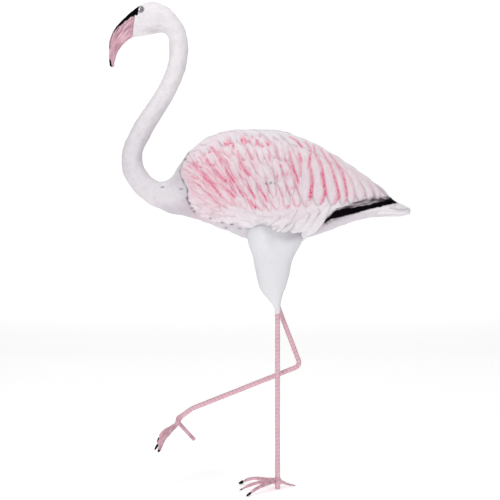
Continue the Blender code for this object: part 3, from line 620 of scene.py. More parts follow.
def band_paint(points):
    """The wing tips' black core, and the smoky purple-grey above it and round its front end, on the sheet."""
    x = points[..., 0]
    foot, core_top, top = (sheet_height(points, line) for line in (BAND_FOOT, BAND_CORE, BAND_TOP))
    there = (x > 44.0) & (x < 119.0) & (points[..., 2] < 125.0)
    uneven = 0.5 * lumps(points * [0.3, 1.0, 1.0], 2.2, 12)
    core = smooth_step(-0.8, 0.6, foot + uneven) * (1.0 - smooth_step(-1.4, 1.6, core_top + uneven))
    smoke = smooth_step(-1.6, 0.6, foot) * (1.0 - smooth_step(-0.8, 0.8, top + uneven))
    spill = np.exp(-((np.minimum(foot, 0.0) / 3.2) ** 2)) * (foot < 0.5) * (1.0 - smooth_step(50.0, 84.0, x))
    spill = spill * np.clip(0.62 + 0.5 * lumps(points, 3.0, 14), 0.0, 1.0)
    return core * there, np.maximum(smoke, spill * smooth_step(42.0, 50.0, x)) * there


def pink_marks(points):
    """The brush marks of strong pink: a bell 1.15 modules wide round each streak, stronger at its lower end,
    and an oval bell 1.3 modules wide on each dab.
    """
    marks = np.zeros(points.shape[:-1])
    for line in PINK_STREAKS:
        low, high = off_sheet(line)[[-1, 0], 1]
        fade = 0.55 + 0.45 * smooth_step(high, low, points[..., 2])
        marks = np.maximum(marks, line_bell(points, line, 1.15) * fade)
    for x, y, heading, length, strength in PINK_DABS:
        ahead = np.array([math.cos(math.radians(heading)), -math.sin(math.radians(heading))])
        offset = points[..., [0, 2]] - off_sheet((x, y))
        along = offset @ ahead
        beside = offset @ np.array([ahead[1], -ahead[0]])
        marks = np.maximum(marks, strength * np.exp(-((along / (0.75 * length)) ** 2) - (beside / 1.3) ** 2))
    return marks * (np.abs(points[..., 1]) > 6.0)


def dashes(points):
    """Short dark strokes of painted shade, each a bell 1.7 modules long and 0.75 high."""
    strokes = np.zeros(points.shape[:-1])
    for x, z in off_sheet(DASHES):
        bell = ((points[..., 0] - x) / 1.7) ** 2 + ((points[..., 2] - z) / 0.75) ** 2
        strokes = np.maximum(strokes, np.exp(-bell))
    return strokes * 0.85 * (np.abs(points[..., 1]) > 4.0)


def oval_bell(points, middle, reach):
    """exp(-(u^2 + v^2)), where u and v are the distances from the middle, in the side view, over its reaches.
    """
    across_it, up_it = (points[..., 0] - middle[0]) / reach[0], (points[..., 2] - middle[1]) / reach[1]
    return np.exp(-(across_it**2 + up_it**2))


def pale_middle(points, depth):
    """1, less a bell of this depth over the middle of the wing, where the paint is thin."""
    return 1.0 - depth * oval_bell(points, (-6.0, 127.0), (24.0, 22.0))


def painted_shade_on_sheet(points):
    """Painted shade in lilac-grey: the shadow under the flank's fringe, and shade in front of the wing's
    edge, under
    the chin and over the lower neck: bells and steps of the place on the sheet.
    """
    x, z = points[..., 0], points[..., 2]
    under = -sheet_height(points, FRINGE)
    hollow = smooth_step(-11.0, -4.0, under) * np.exp(-(np.maximum(under, 0) / 4.8) ** 2) * (x > -32.0)
    hollow = hollow * (0.38 + 0.62 * smooth_step(-12.0, 22.0, x)) * (1.0 - smooth_step(20.0, 62.0, x))
    edge, side = near_line(points, WING_EDGE)
    ahead = np.exp(-(edge / 9.0) ** 2) * (side < 0) * (x > -114.0) * (z < 170.0)
    chin = oval_bell(points, (-122.0, 273.0), (10.0, 3.0))
    low = (1.0 - smooth_step(-92.0, -58.0, x)) * (1.0 - smooth_step(150.0, 215.0, z)) * (x > -160.0)
    return np.clip(0.58 * hollow + 0.20 * ahead + 0.25 * chin + 0.14 * low, 0, 1)


def on_wing(points):
    """1 over the folded wing, fading out at its front edge, at the flank and over the back."""
    x, z = points[..., 0], points[..., 2]
    edge, side = near_line(points, WING_EDGE)
    front = smooth_step(-0.5, 4.0, edge * side) * (x > -112.0)
    foot = np.interp(x, [-90.0, -60.0, -20.0, 30.0, 60.0, 110.0], [104.0, 99.0, 94.0, 96.0, 101.0, 106.0])
    beside = smooth_step(5.0, 15.0, np.abs(points[..., 1]))
    return front * smooth_step(-6.0, 6.0, z - foot) * (z < 178.0) * beside


def wing_wash(points):
    """The pale pink wash, as bells on the sheet: strongest on the front of the wing, thinner in its middle
    and to the back, and a breath of it on breast and flank.
    """
    x, z = points[..., 0], points[..., 2]
    front = oval_bell(points, (-70.0, 122.0), (45.0, 26.0))
    middle = oval_bell(points, (5.0, 130.0), (60.0, 34.0))
    breast = oval_bell(points, (-66.0, 95.0), (24.0, 12.0))
    flank = oval_bell(points, (10.0, 90.0), (50.0, 12.0))
    back = smooth_step(20.0, 60.0, x) * smooth_step(98.0, 112.0, z)
    tints = on_wing(points) * pale_middle(points, 0.45) * (0.60 * front + 0.32 * middle + 0.16 * back)
    tints = tints * (1.0 - 0.7 * smooth_step(157.0, 172.0, z))
    return np.clip(tints + 0.42 * breast * (z < 112.0) + 0.14 * flank, 0, 1)


def feather_table():
    """Every feather of one side, one row each: tip x and z, length, heading, width, lift, bow, pink, grey and
    kind. A row's tips lie on the parabola through its first, middle and last, and its measures run evenly
    from first to last, each with a little chance.
    """
    chance = np.random.default_rng(5)
    table = []
    for first, middle, last, count, lengths, headings, widths, lift, bow, pink, grey in ROWS:
        share = np.linspace(0.0, 1.0, count)
        weights = np.stack([(1 - share) * (1 - 2 * share), 4 * share * (1 - share), share * (2 * share - 1)])
        tips = off_sheet(weights.T @ np.array([first, middle, last], float))
        tips = tips + chance.uniform(-1.0, 1.0, tips.shape) * UNEVEN_TIP
        spans = [pair[0] + (pair[1] - pair[0]) * share for pair in (lengths, headings, widths)]
        spans[0] = spans[0] * (1 + chance.uniform(-1.0, 1.0, count) * UNEVEN_LENGTH)
        spans[1] = spans[1] + chance.uniform(-1.0, 1.0, count) * UNEVEN_HEADING
        spans[2] = spans[2] * (1 + chance.uniform(-1.0, 1.0, count) * UNEVEN_LENGTH)
        lifts = lift * (1 + chance.uniform(-1.0, 1.0, count) * UNEVEN_LENGTH)
        pinks = pink * chance.uniform(0.55, 1.0, count)
        bows = bow + chance.uniform(-0.03, 0.03, count)
        ends = np.tile([grey, COVERT], (count, 1))
        table.append(np.column_stack([tips, *spans, lifts, bows, pinks, ends]))
    singles = np.array(SINGLES, float)
    table.append(np.column_stack([off_sheet(singles[:, 0:2]), singles[:, 2:]]))
    steps = np.diff(RIDGE, axis=0)
    headings = np.degrees(np.arctan2(steps[:, 1], steps[:, 0]))
    headings = np.append(headings, headings[-1])
    ends = np.tile([0.7, 0.0, 0.08, 0.1, ON_RIDGE], (len(RIDGE), 1))
    lengths, widths = np.full(len(RIDGE), 27.0), np.linspace(15.0, 10.0, len(RIDGE))
    table.append(np.column_stack([off_sheet(RIDGE), lengths, headings, widths, ends]))
    return np.concatenate(table)


def nearest_on_skin(places):
    """The skin's two parameters nearest to each place in the side view, found on a fine grid of its near
    half.
    """
    along = np.linspace(NECK_END - 5.0, TAIL_END - 0.4, 420)
    angle = np.linspace(0.0, math.pi, 200)
    every_along, every_angle = (grid.ravel() for grid in np.meshgrid(along, angle, indexing="ij"))
    spots = skin(every_along, every_angle)[:, [0, 2]]
    nearest = [int(np.argmin(np.sum((spots - place) ** 2, axis=1))) for place in places]
    return every_along[nearest], every_angle[nearest]


def onto_skin(places, forward, sideways, along, angle):
    """Where the line through each place, square to its feather's plane, meets the skin. Newton's method
    changes the two parameters until what is left between skin and place has no share along forward or
    sideways.
    """
    for _ in range(12):
        here = skin(along, angle)
        by_along = (skin(along + 0.2, angle) - here) / 0.2
        by_angle = (skin(along, angle + 0.004) - here) / 0.004
        miss = here - places
        a, b, c, d = (dot(slope, axis) for axis in (forward, sideways) for slope in (by_along, by_angle))
        e, f = dot(miss, forward), dot(miss, sideways)
        turn = a * d - b * c
        turn = np.where(np.abs(turn) < 0.5, np.where(turn < 0, -0.5, 0.5), turn)
        along = np.clip(along - np.clip((e * d - b * f) / turn, -6.0, 6.0), NECK_END - 30.0, TAIL_END - 0.3)
        angle = angle - np.clip((a * f - c * e) / turn, -0.12, 0.12)
    return along, angle


def per_feather(values):
    """One value a feather, spread over arrays (feather, row, column)."""
    return values[:, None, None]


def feather_shells(table, rows=26, top_columns=15):
    """Closed leaf-shaped shells that stand on the skin, as an array (feather, row, column, xyz) in modules,
    with the paints on them.

    With s from root to tip and t from side to side, the half width is W/2 (0.7 + 0.3 s') times the root of
    1 - e^p, where e runs from 0 to 1 over the last part. The top's height is lift (-0.4 + 1.4 s')
    (1 - 0.15 t) (1 - 0.3 t^2), with s' a smooth step of s, and is brought down along the rim in a quarter
    circle. Fine flutes and a raised shaft are added to it. The underside lies below the skin. The centre
    line bows as (2 s - 1)^2.
    """
    tips, length, heading, width = table[:, 0:2], table[:, 2], np.radians(table[:, 3]), table[:, 4]
    lift, bow, kind = table[:, 5] * sizes().feather_lift, table[:, 6], table[:, 9].astype(int)
    leaf = np.random.default_rng(9).uniform(size=len(table))
    toward = np.stack([np.cos(heading), -np.sin(heading)], axis=1)
    beside = np.stack([np.sin(heading), np.cos(heading)], axis=1)
    tip_spot = skin(*nearest_on_skin(tips))
    root_spot = skin(*nearest_on_skin(tips - toward * length[:, None]))
    middles = tips - toward * length[:, None] / 2 + beside * (bow * length)[:, None]
    middle_along, middle_angle = nearest_on_skin(middles)
    for spot in (tip_spot, root_spot):
        spot[kind == ON_RIDGE, 1] = 0.0
    middle_angle[kind == ON_RIDGE] = 0.0
    middle_spot, up = skin_frame(middle_along, middle_angle)
    forward = unit(tip_spot - root_spot - up * dot(tip_spot - root_spot, up)[:, None])
    sideways = np.cross(up, forward)

    s = 0.004 + 0.992 * np.sin(np.linspace(0.0, 1.0, rows) * math.pi / 2) ** 1.2
    top_t = np.sin(np.linspace(-1.0, 1.0, top_columns) * math.pi / 2)
    t = np.concatenate([top_t, [0.55, 0.0, -0.55]])
    under = np.concatenate([np.zeros(top_columns), np.ones(3)])
    s, t, under = s[None, :, None], t[None, None, :], under[None, None, :]

    tapered = per_feather(np.choose(kind, [0.52, 0.30, 0.60, 0.50, 0.60]))
    power = per_feather(np.choose(kind, [2.0, 2.2, 2.0, 2.2, 2.0]))
    end = np.clip((s - (1 - tapered)) / tapered, 0, 1)
    half = per_feather(width) / 2 * (0.70 + 0.30 * smooth_step(0.0, 0.45, s)) * np.sqrt(1.0 - end**power)
    waver = np.sin(11.0 * s + 40.0 * per_feather(leaf) + 2.0 * np.sign(t))
    ragged = 1.0 + 0.09 * waver * np.where(per_feather(kind) == WING_TIP, 0.2, 1.0)
    lateral = half * t * ragged - per_feather(bow * length) * (2 * s - 1) ** 2
    places = (
        middle_spot[:, None, None]
        + ((s - 0.5) * per_feather(length))[..., None] * forward[:, None, None]
        + lateral[..., None] * sideways[:, None, None]
    )
    shape = places.shape
    axes = [np.broadcast_to(axis[:, None, None], shape).reshape(-1, 3) for axis in (forward, sideways)]
    starts = (middle_along, middle_angle)
    starts = [np.broadcast_to(per_feather(start), shape[:3]).ravel() for start in starts]
    points, normals = skin_frame(*onto_skin(places.reshape(-1, 3), *axes, *starts))

    rim = np.minimum((1 - np.abs(t)) * half, (1 - s) * per_feather(length) * 0.6)
    swept = (kind == COVERT) & (tips[:, 1] < 102.0) & (tips[:, 0] > -35.0)
    radius = np.where(per_feather(swept), 0.46, 0.26) * per_feather(width)
    edge = np.sqrt(np.clip(1.0 - (1.0 - np.clip(rim / radius, 0, 1)) ** 2, 0, 1))
    tilt = np.where(per_feather(kind) == TERTIAL, 0.30, 0.15)
    height = per_feather(lift) * (-0.4 + 1.4 * smooth_step(-0.15, 0.75, s))
    height = height * (1.0 - tilt * t) * (1.0 - 0.30 * t**2)
    flutes = np.sin(t * half * 2.1 + 30.0 * per_feather(leaf) + 2.0 * s) * smooth_step(0.15, 0.5, s) * 0.10
    shaft = 0.16 * np.exp(-((np.abs(t) * half / 0.55) ** 2))
    shaft = shaft * smooth_step(0.1, 0.4, s) * smooth_step(1.0, 0.8, s)
    sink = 0.8
    top = -sink + (height + flutes + shaft + sink) * edge * smooth_step(0.0, 0.10, s)
    height = np.where(under > 0, -sink - 0.8, top) * np.ones(shape[:3])
    from_edge, side = near_line(points, WING_EDGE)
    behind = np.maximum(smooth_step(-0.5, 2.5, from_edge * side), smooth_step(102.0, 97.0, points[..., 2]))
    behind = np.maximum(behind, smooth_step(-70.0, -60.0, points[..., 0])).reshape(shape[:3])
    height = np.minimum(height, -sink + (height + sink) * behind)
    relief = body_relief(points, normals).reshape(shape[:3])
    out = (points + normals * (relief + height).ravel()[:, None]).reshape(shape)

    paints = feather_paints(table, out, s, t, rim, np.where(swept, 0.35, 1.0), np.where(swept, 0.5, 1.0))
    measures = {"across": t * half, "along": s * per_feather(length), "leaf": per_feather(leaf)}
    paints |= {key: values * np.ones(shape[:3]) for key, values in measures.items()}
    return out, paints


def feather_paints(table, points, s, t, rim, less_grey, less_painted_shade):
    """Where each paint lies on a feather: strong pink in the groove along its lower rim, a flush over it,
    grey painted shade on the rim, lilac-grey painted shade on its lower side, and the wing tips' band. Each
    is a product of smooth steps of s, of t and of the distance to the rim.
    """
    pink, grey, kind = table[:, 7], table[:, 8], table[:, 9].astype(int)
    tertial = per_feather(kind) == TERTIAL
    lower_side = np.where(tertial, smooth_step(-0.4, 0.7, t), 0.35 + 0.65 * smooth_step(0.5, -0.5, t))
    tip_fade = np.where(tertial, 1.0, 1.0 - 0.65 * smooth_step(0.88, 0.98, s))
    start, reach = np.where(tertial, 2.6, 0.3), np.where(tertial, 6.5, 3.4)
    late = np.where(tertial, smooth_step(0.05, 0.35, s), smooth_step(0.10, 0.70, s))
    calm = pale_middle(points, 0.55)
    groove = 0.72 * per_feather(pink) * late * lower_side * tip_fade * calm
    groove = groove * (1.0 - smooth_step(start, reach, rim))
    brushed = pink_marks(points) * per_feather(np.where(kind > TERTIAL, 0.0, 0.95))
    flush = np.where(kind == COVERT, np.clip(0.10 + 0.75 * pink, 0.0, 0.62), 0.10)
    flush = np.where(kind == TERTIAL, 0.15, flush)
    # Painted shade on each feather's lower side, away from the light.
    lower = smooth_step(0.3, -0.6, t) * late * (1.0 - smooth_step(0.0, 4.0, rim))
    on_rim = smooth_step(0.2, 0.8, s) * (1.0 - smooth_step(0.0, 2.2, rim))
    core, smoke = band_paint(points)
    banded = per_feather(np.choose(kind, [0.0, 0.35, 1.0, 1.0, 0.0]))
    return {
        "flush": per_feather(flush) * calm,
        # painted shade on the lower side of each feather
        "painted_shade": lower * per_feather(np.where(kind == WING_TIP, 0.0, 0.42) * less_painted_shade),
        "groove": np.maximum(groove, brushed),
        # grey: painted shade along the rim, and the dark strokes of painted shade in the hollows
        "grey": np.maximum(per_feather(grey * less_grey) * on_rim * np.ones(calm.shape), dashes(points)),
        "black": core * banded,
        "smoke": smoke * banded,
        "wash": wing_wash(points),
    }


def ring_faces(rows, columns):
    """Faces of one closed shell: quads around a grid of rings, and a fan at each end, to the two points after
    the grid's.
    """
    row, column = np.meshgrid(np.arange(rows - 1), np.arange(columns), indexing="ij")
    beside = (column + 1) % columns
    quads = np.stack([row * columns + column, row * columns + beside], axis=-1)
    quads = np.concatenate([quads, quads[..., ::-1] + columns], axis=-1).reshape(-1, 4)
    step = np.arange(columns)
    following = (step + 1) % columns
    first, last, base = rows * columns, rows * columns + 1, (rows - 1) * columns
    fans = np.concatenate([
        np.stack([np.full(columns, first), following, step], axis=1),
        np.stack([np.full(columns, last), base + step, base + following], axis=1),
    ])
    return quads, fans


def shells_mesh(name, grids, attributes=None):
    """One mesh of closed shells from an array (shell, row, column, xyz) in metres. Each end of a shell is
    closed to its ring's middle, and a shell whose volume comes out negative is turned round, so that faces
    point outwards.
    """
    count, rows, columns = grids.shape[:3]
    ends = grids[:, [0, -1]].mean(axis=2)
    points = np.concatenate([grids.reshape(count, -1, 3), ends], axis=1)
    quads, fans = ring_faces(rows, columns)
    triangles = np.concatenate([quads[:, [0, 1, 2]], quads[:, [0, 2, 3]], fans])
    corners = points[:, triangles] - points[:, None, :1]
    volume = dot(corners[:, :, 0], np.cross(corners[:, :, 1], corners[:, :, 2])).sum(axis=1)
    offsets = (np.arange(count) * points.shape[1])[:, None, None]
    flip = (volume < 0)[:, None, None]
    quads = np.where(flip, quads[None, :, ::-1], quads[None]) + offsets
    fans = np.where(flip, fans[None, :, ::-1], fans[None]) + offsets
    corners = np.concatenate([quads.ravel(), fans.ravel()]).astype(np.int32)
    lengths = np.concatenate([np.full(quads.size // 4, 4), np.full(fans.size // 3, 3)])
    starts = np.concatenate([[0], np.cumsum(lengths)[:-1]]).astype(np.int32)
    mesh = bpy.data.meshes.new(name)
    mesh.vertices.add(count * points.shape[1])
    mesh.vertices.foreach_set("co", points.astype(np.float32).ravel())
    mesh.loops.add(len(corners))
    mesh.loops.foreach_set("vertex_index", corners)
    mesh.polygons.add(len(lengths))
    mesh.polygons.foreach_set("loop_start", starts)
    mesh.update(calc_edges=True)
    mesh.shade_smooth()
    for key, values in (attributes or {}).items():
        ends_of = values[:, [0, -1]].mean(axis=2)
        flat = np.concatenate([values.reshape(count, -1), ends_of], axis=1)
        made = mesh.attributes.new(key, "FLOAT", "POINT")
        made.data.foreach_set("value", flat.astype(np.float32).ravel())
    return mesh


def add_piece(name, mesh, finish, node):
    """A finished piece: its object at the origin, riding on the statue in place of its CAD node."""
    old = bpy.data.objects.get(name)
    if old is not None:
        bpy.data.objects.remove(old)
    piece = bpy.data.objects.new(name, mesh)
    bpy.context.scene.collection.objects.link(piece)
    mesh.materials.append(finish)
    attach(piece, "root")
    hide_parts(node)
    return piece


# Settings of the nodes used most. A slope's inputs are value, low, high, start and end. A colour mix has its
# share at 0 and its two colours at 6 and 7.
SLOPE = {"kind": "MapRange", "interpolation_type": "SMOOTHSTEP"}
COLOUR_MIX = {"kind": "Mix", "output": 2, "data_type": "RGBA", "clamp_factor": True}
PRODUCT = {"kind": "Math", "operation": "MULTIPLY"}


def fill_inputs(tree, node, inputs):
    """Sets a node's inputs to values, or links them to other nodes' outputs."""
    for socket, value in inputs.items():
        if isinstance(value, bpy.types.NodeSocket):
            tree.links.new(value, node.inputs[socket])
        else:
            node.inputs[socket].default_value = value


def add_node(tree, inputs, kind, output=0, **settings):
    """Adds a shader node with its settings and its inputs, and gives back one of its outputs. The inputs are
    a row from the first one on, or a table by number or name.
    """
    node = tree.nodes.new("ShaderNode" + kind)
    for key, value in settings.items():
        setattr(node, key, value)
    fill_inputs(tree, node, inputs if isinstance(inputs, dict) else dict(enumerate(inputs)))
    return node.outputs[output]


def lay_paints(tree, colour, layers):
    """Paints laid over a colour one after the other. A layer is its colour and the factors of its share, each
    a number, another node's output, or the value, low, high, start and end of a slope.
    """
    for tint, *factors in layers:
        share = 1.0
        for factor in factors:
            if isinstance(factor, tuple):
                factor = add_node(tree, factor, **SLOPE)
            share = add_node(tree, (share, factor), **PRODUCT)
        colour = add_node(tree, {0: share, 6: colour, 7: tint}, **COLOUR_MIX)
    return colour


def new_material(name):
    """A new material, its node tree and its shader."""
    made = bpy.data.materials.new(name)
    made.use_nodes = True
    tree = made.node_tree
    return made, tree, tree.nodes["Principled BSDF"]


def painted_resin(carved):
    """Polyresin, cast and hand-painted in matt acrylics, worn back and sealed: pale, soft-sheened and a
    little uneven.

    The base is off-white. Painted shade in lilac-grey darkens hollows, undersides and edges, pink is washed
    over the wing, and strong pink and black are brushed on last, with ragged edges. On feathers the brush
    follows each leaf.
    """
    name = "painted_resin_feathers" if carved else "painted_resin_skin"
    finish = bpy.data.materials.get(name)
    if finish is not None:
        return finish
    finish, tree, shader = new_material(name)
    paint = colours()
    place = add_node(tree, {}, "TexCoord", "Object")
    # Cloudy brushwork 12 mm across, pores of 5.5 mm, a grain of 2.2 mm and ragged paint edges of 3.5 mm. Real
    # pores and grain are finer, and these are drawn as coarse as they need to be to show.
    mottle, pores, fine, ragged = (
        add_node(
            tree, {"Vector": place, "Scale": MM / size, "Detail": detail, "Roughness": rough}, "TexNoise"
        )
        for size, detail, rough in ((12.0, 4, 0.55), (5.5, 3, 0.6), (2.2, 3, 0.6), (3.5, 2, 0.6))
    )
    keys = PAINTS + (FEATHER_PAINTS if carved else SKIN_PAINTS)
    marks = {key: add_node(tree, {}, "Attribute", "Fac", attribute_name=key) for key in keys}
    # Brush strokes drawn out along a feather or the bill, by width and length in millimetres: noise on the
    # leaf's own measures, different on every leaf. The second is the brush's hairs.
    on_leaf = add_node(tree, (marks["across"], marks["along"], marks["leaf"]), "CombineXYZ")
    brushes = []
    for width, length in ((2.9, 20.0), (1.1, 9.0)) if carved else ((1.7, 22.0),):
        drawn_out = (on_leaf, (1 / width, 1 / length, 57.0))
        drawn_out = add_node(tree, drawn_out, "VectorMath", operation="MULTIPLY")
        brushes.append(add_node(tree, {"Vector": drawn_out, "Scale": 1.0, "Detail": 2.0}, "TexNoise"))
    strokes = brushes[0]

    clouds = add_node(tree, (mottle, 0.35, 0.70, 0.0, 0.09), **SLOPE)
    specks = add_node(tree, (pores, 0.50, 0.72, 0.0, 0.16), **SLOPE)
    blotch = add_node(tree, (clouds, specks), "Math", operation="ADD")
    # Painted shade in hollows: ambient occlusion darkens the colour towards the shade colour.
    hollow = add_node(tree, {"Distance": 0.007}, "AmbientOcclusion", "AO", samples=8)
    wash = add_node(tree, (mottle, 0.25, 0.65, 0.65, 1.0), **SLOPE)
    wash = add_node(tree, (marks["wash"], wash), **PRODUCT)
    black = add_node(tree, (ragged, 0.2, 0.8, -0.22, 0.22), **SLOPE)
    black = add_node(tree, (marks["black"], black), "Math", operation="ADD")
    black = add_node(tree, (black, 0.25, 0.75), **SLOPE)
    if carved:
        own = [
            (paint.plumage, wash, (strokes, 0.34, 0.50, 0.75, 0.0)),
            (paint.streak, (strokes, 0.52, 0.70, 0.0, 1.1), marks["flush"], (wash, 0.0, 0.4)),
            (paint.streak, marks["groove"], (ragged, 0.30, 0.62, 0.55, 1.25)),
        ]
    else:
        bill = [
            (paint.leg_recess, (strokes, 0.42, 0.66, 0.0, 0.75)),
            (from_hex("#F3D3DC"), (strokes, 0.34, 0.46, 0.45, 0.0)),
        ]
        own = [
            (paint.streak, marks["streak"], (ragged, 0.30, 0.60, 0.55, 1.1)),
            (lay_paints(tree, paint.bill, bill), marks["bill"]),
        ]
    colour = lay_paints(tree, paint.plumage, [
        (from_hex("#EEEEF2"), marks["plain"]),
        (paint.shade, blotch, (marks["plain"], 0.0, 1.0, 1.0, 0.3)),
        # Painted shade in hollows, from ambient occlusion.
        (paint.shade, (hollow, 0.45, 0.96, 1.0, 0.0), 0.70),
        # Painted shade in lilac-grey: the shadow under the fringe, and shade under the chin and belly, along
        # edges and on feathers' lower sides.
        (from_hex("#948A99"), marks["painted_shade"]),
        (paint.wash, wash),
        *own,
        # Dark grey lines, and painted shade in creases and along feather rims.
        (from_hex("#4A4458"), marks["grey"], (ragged, 0.25, 0.6, 0.6, 1.15)),
        (from_hex("#54434F"), marks["smoke"], (strokes, 0.38, 0.62, 0.62, 1.0)),
        (paint.black, black),
    ])
    height = 0.0
    for pattern, depth in ((mottle, 0.9), (fine, 0.35), (brushes[-1], 2.2) if carved else (pores, 1.5)):
        height = add_node(tree, (pattern, depth, height), "Math", operation="MULTIPLY_ADD")
    # the export drops the link below and keeps this
    shader.inputs["Specular IOR Level"].default_value = 0.3  # the value that the link below gives where there is no black
    fill_inputs(tree, shader, {
        "Base Color": colour,
        "IOR": 1.5,
        "Specular IOR Level": add_node(tree, (black, 0.0, 1.0, 0.3, 0.03), **SLOPE),
        "Roughness": add_node(tree, (fine, 0.3, 0.7, 0.46, 0.60), **SLOPE),
        "Normal": add_node(tree, {"Height": height, "Strength": 0.55, "Distance": 0.0009}, "Bump"),
    })
    return finish


def painted_steel():
    """Ribbed steel bar, hot-rolled and spray-painted pink: an even satin coat, darker between the ribs, and
    darker along the bar's front and back, which is painted shade.
    """
    finish, tree, shader = new_material("painted_ribbed_steel")
    paint = colours()
    place = add_node(tree, {}, "TexCoord", "Object")
    cloud = add_node(tree, {"Vector": place, "Scale": MM / 16.0, "Detail": 3, "Roughness": 0.5}, "TexNoise")
    fine = add_node(tree, {"Vector": place, "Scale": MM / 1.2, "Detail": 3, "Roughness": 0.6}, "TexNoise")
    recess, edge = (add_node(tree, {}, "Attribute", "Fac", attribute_name=key) for key in ("recess", "edge"))
    fill_inputs(tree, shader, {
        "Base Color": lay_paints(tree, paint.leg, [
            (paint.leg_recess, recess, (cloud, 0.3, 0.7, 0.5, 1.0), 0.35),
            # Painted shade along the front and back of the bar.
            (paint.leg_recess, edge, (fine, 0.3, 0.7, 0.35, 0.75)),
        ]),
        "Roughness": add_node(tree, (fine, 0.3, 0.7, 0.38, 0.52), **SLOPE),
        "Normal": add_node(tree, {"Height": fine, "Strength": 0.25, "Distance": 0.0002}, "Bump"),
    })
    return finish


def painted_iron():
    """Cast iron, sand-cast and painted the legs' pink: a slightly grainy skin under a satin coat, with
    painted shade in its hollows and in a small pit.
    """
    finish, tree, shader = new_material("painted_cast_iron")
    paint = colours()
    place = add_node(tree, {}, "TexCoord", "Object")
    cloud = add_node(tree, {"Vector": place, "Scale": MM / 10.0, "Detail": 3, "Roughness": 0.55}, "TexNoise")
    grain = add_node(tree, {"Vector": place, "Scale": MM / 1.1, "Detail": 3, "Roughness": 0.65}, "TexNoise")
    # Painted shade in the hollows between toes and hub, from ambient occlusion.
    hollow = add_node(tree, {"Distance": 0.008}, "AmbientOcclusion", "AO", samples=8)
    pit = add_node(tree, {}, "Attribute", "Fac", attribute_name="pit")
    fill_inputs(tree, shader, {
        "Base Color": lay_paints(tree, paint.leg, [
            (paint.leg_recess, (cloud, 0.40, 0.70, 0.32, 0.8)),
            (paint.leg_recess, (hollow, 0.4, 0.95, 0.8, 0.0)),
            # Painted shade in the pit.
            (from_hex("#4A2838"), pit, 0.9),
        ]),
        "Roughness": add_node(tree, (grain, 0.3, 0.7, 0.42, 0.58), **SLOPE),
        "Normal": add_node(tree, {"Height": grain, "Strength": 0.4, "Distance": 0.0003}, "Bump"),
    })
    return finish


def black_enamel():
    """Black enamel, brushed on: deep and even with a faint grey scuffing."""
    finish, tree, shader = new_material("brushed_black_enamel")
    place = add_node(tree, {}, "TexCoord", "Object")
    scuff = add_node(tree, {"Vector": place, "Scale": MM / 2.0, "Detail": 3, "Roughness": 0.6}, "TexNoise")
    fill_inputs(tree, shader, {
        "Base Color": lay_paints(tree, colours().black, [
            (from_hex("#5A505A"), (scuff, 0.5, 0.8, 0.0, 0.25)),
        ]),
        "Specular IOR Level": 0.15,
        "Roughness": add_node(tree, (scuff, 0.3, 0.7, 0.35, 0.50), **SLOPE),
    })
    return finish


def eye_enamel():
    """White, grey and black enamel on the eyeball under clear lacquer: glossy, with soft edges between
    colours.
    """
    finish, tree, shader = new_material("painted_glossy_eye")
    keys = ("white", "pupil", "lid")
    white, pupil, lid = (add_node(tree, {}, "Attribute", "Fac", attribute_name=key) for key in keys)
    fill_inputs(tree, shader, {
        "Base Color": lay_paints(tree, from_hex("#9A929B"), [
            (colours().iris, white),
            (colours().black, pupil),
            (from_hex("#3A343C"), lid),
        ]),
        "Roughness": 0.18,
    })
    return finish


def white_paper():
    """White backdrop paper, uncoated: matt with a faint fibre, and lifted a little with height to an even
    white.
    """
    finish, tree, shader = new_material("matt_white_paper")
    place = add_node(tree, {}, "TexCoord", "Object")
    fibre = add_node(tree, {"Vector": place, "Scale": MM / 4.0, "Detail": 3, "Roughness": 0.6}, "TexNoise")
    height = add_node(tree, (place,), "SeparateXYZ", "Z")
    fill_inputs(tree, shader, {
        "Base Color": lay_paints(tree, colours().stage, [
            (from_hex("#F2F2F4"), (fibre, 0.3, 0.7, 0.0, 0.02)),
        ]),
        "Roughness": 0.9,
        "Emission Color": (1.0, 1.0, 1.0, 1.0),
        "Emission Strength": add_node(tree, (height, 0.0, 0.25, 0.31, 0.47), **SLOPE),
    })
    return finish


def skin_rows():
    """Where the skin's rings lie: close on the head and at the wing's front edge, wider elsewhere."""
    stretches = (
        (0.0, HEAD_END, 0.44),
        (HEAD_END, NECK_END, 1.3),
        (NECK_END, WING_START, 1.0),
        (WING_START, WING_OPEN, 0.55),
        (WING_OPEN, TAIL_END, 2.0),
    )
    at = [np.array([0.0])]
    for start, end, pitch in stretches:
        at.append(np.linspace(start, end, round((end - start) / pitch) + 1)[1:])
    return np.concatenate(at)


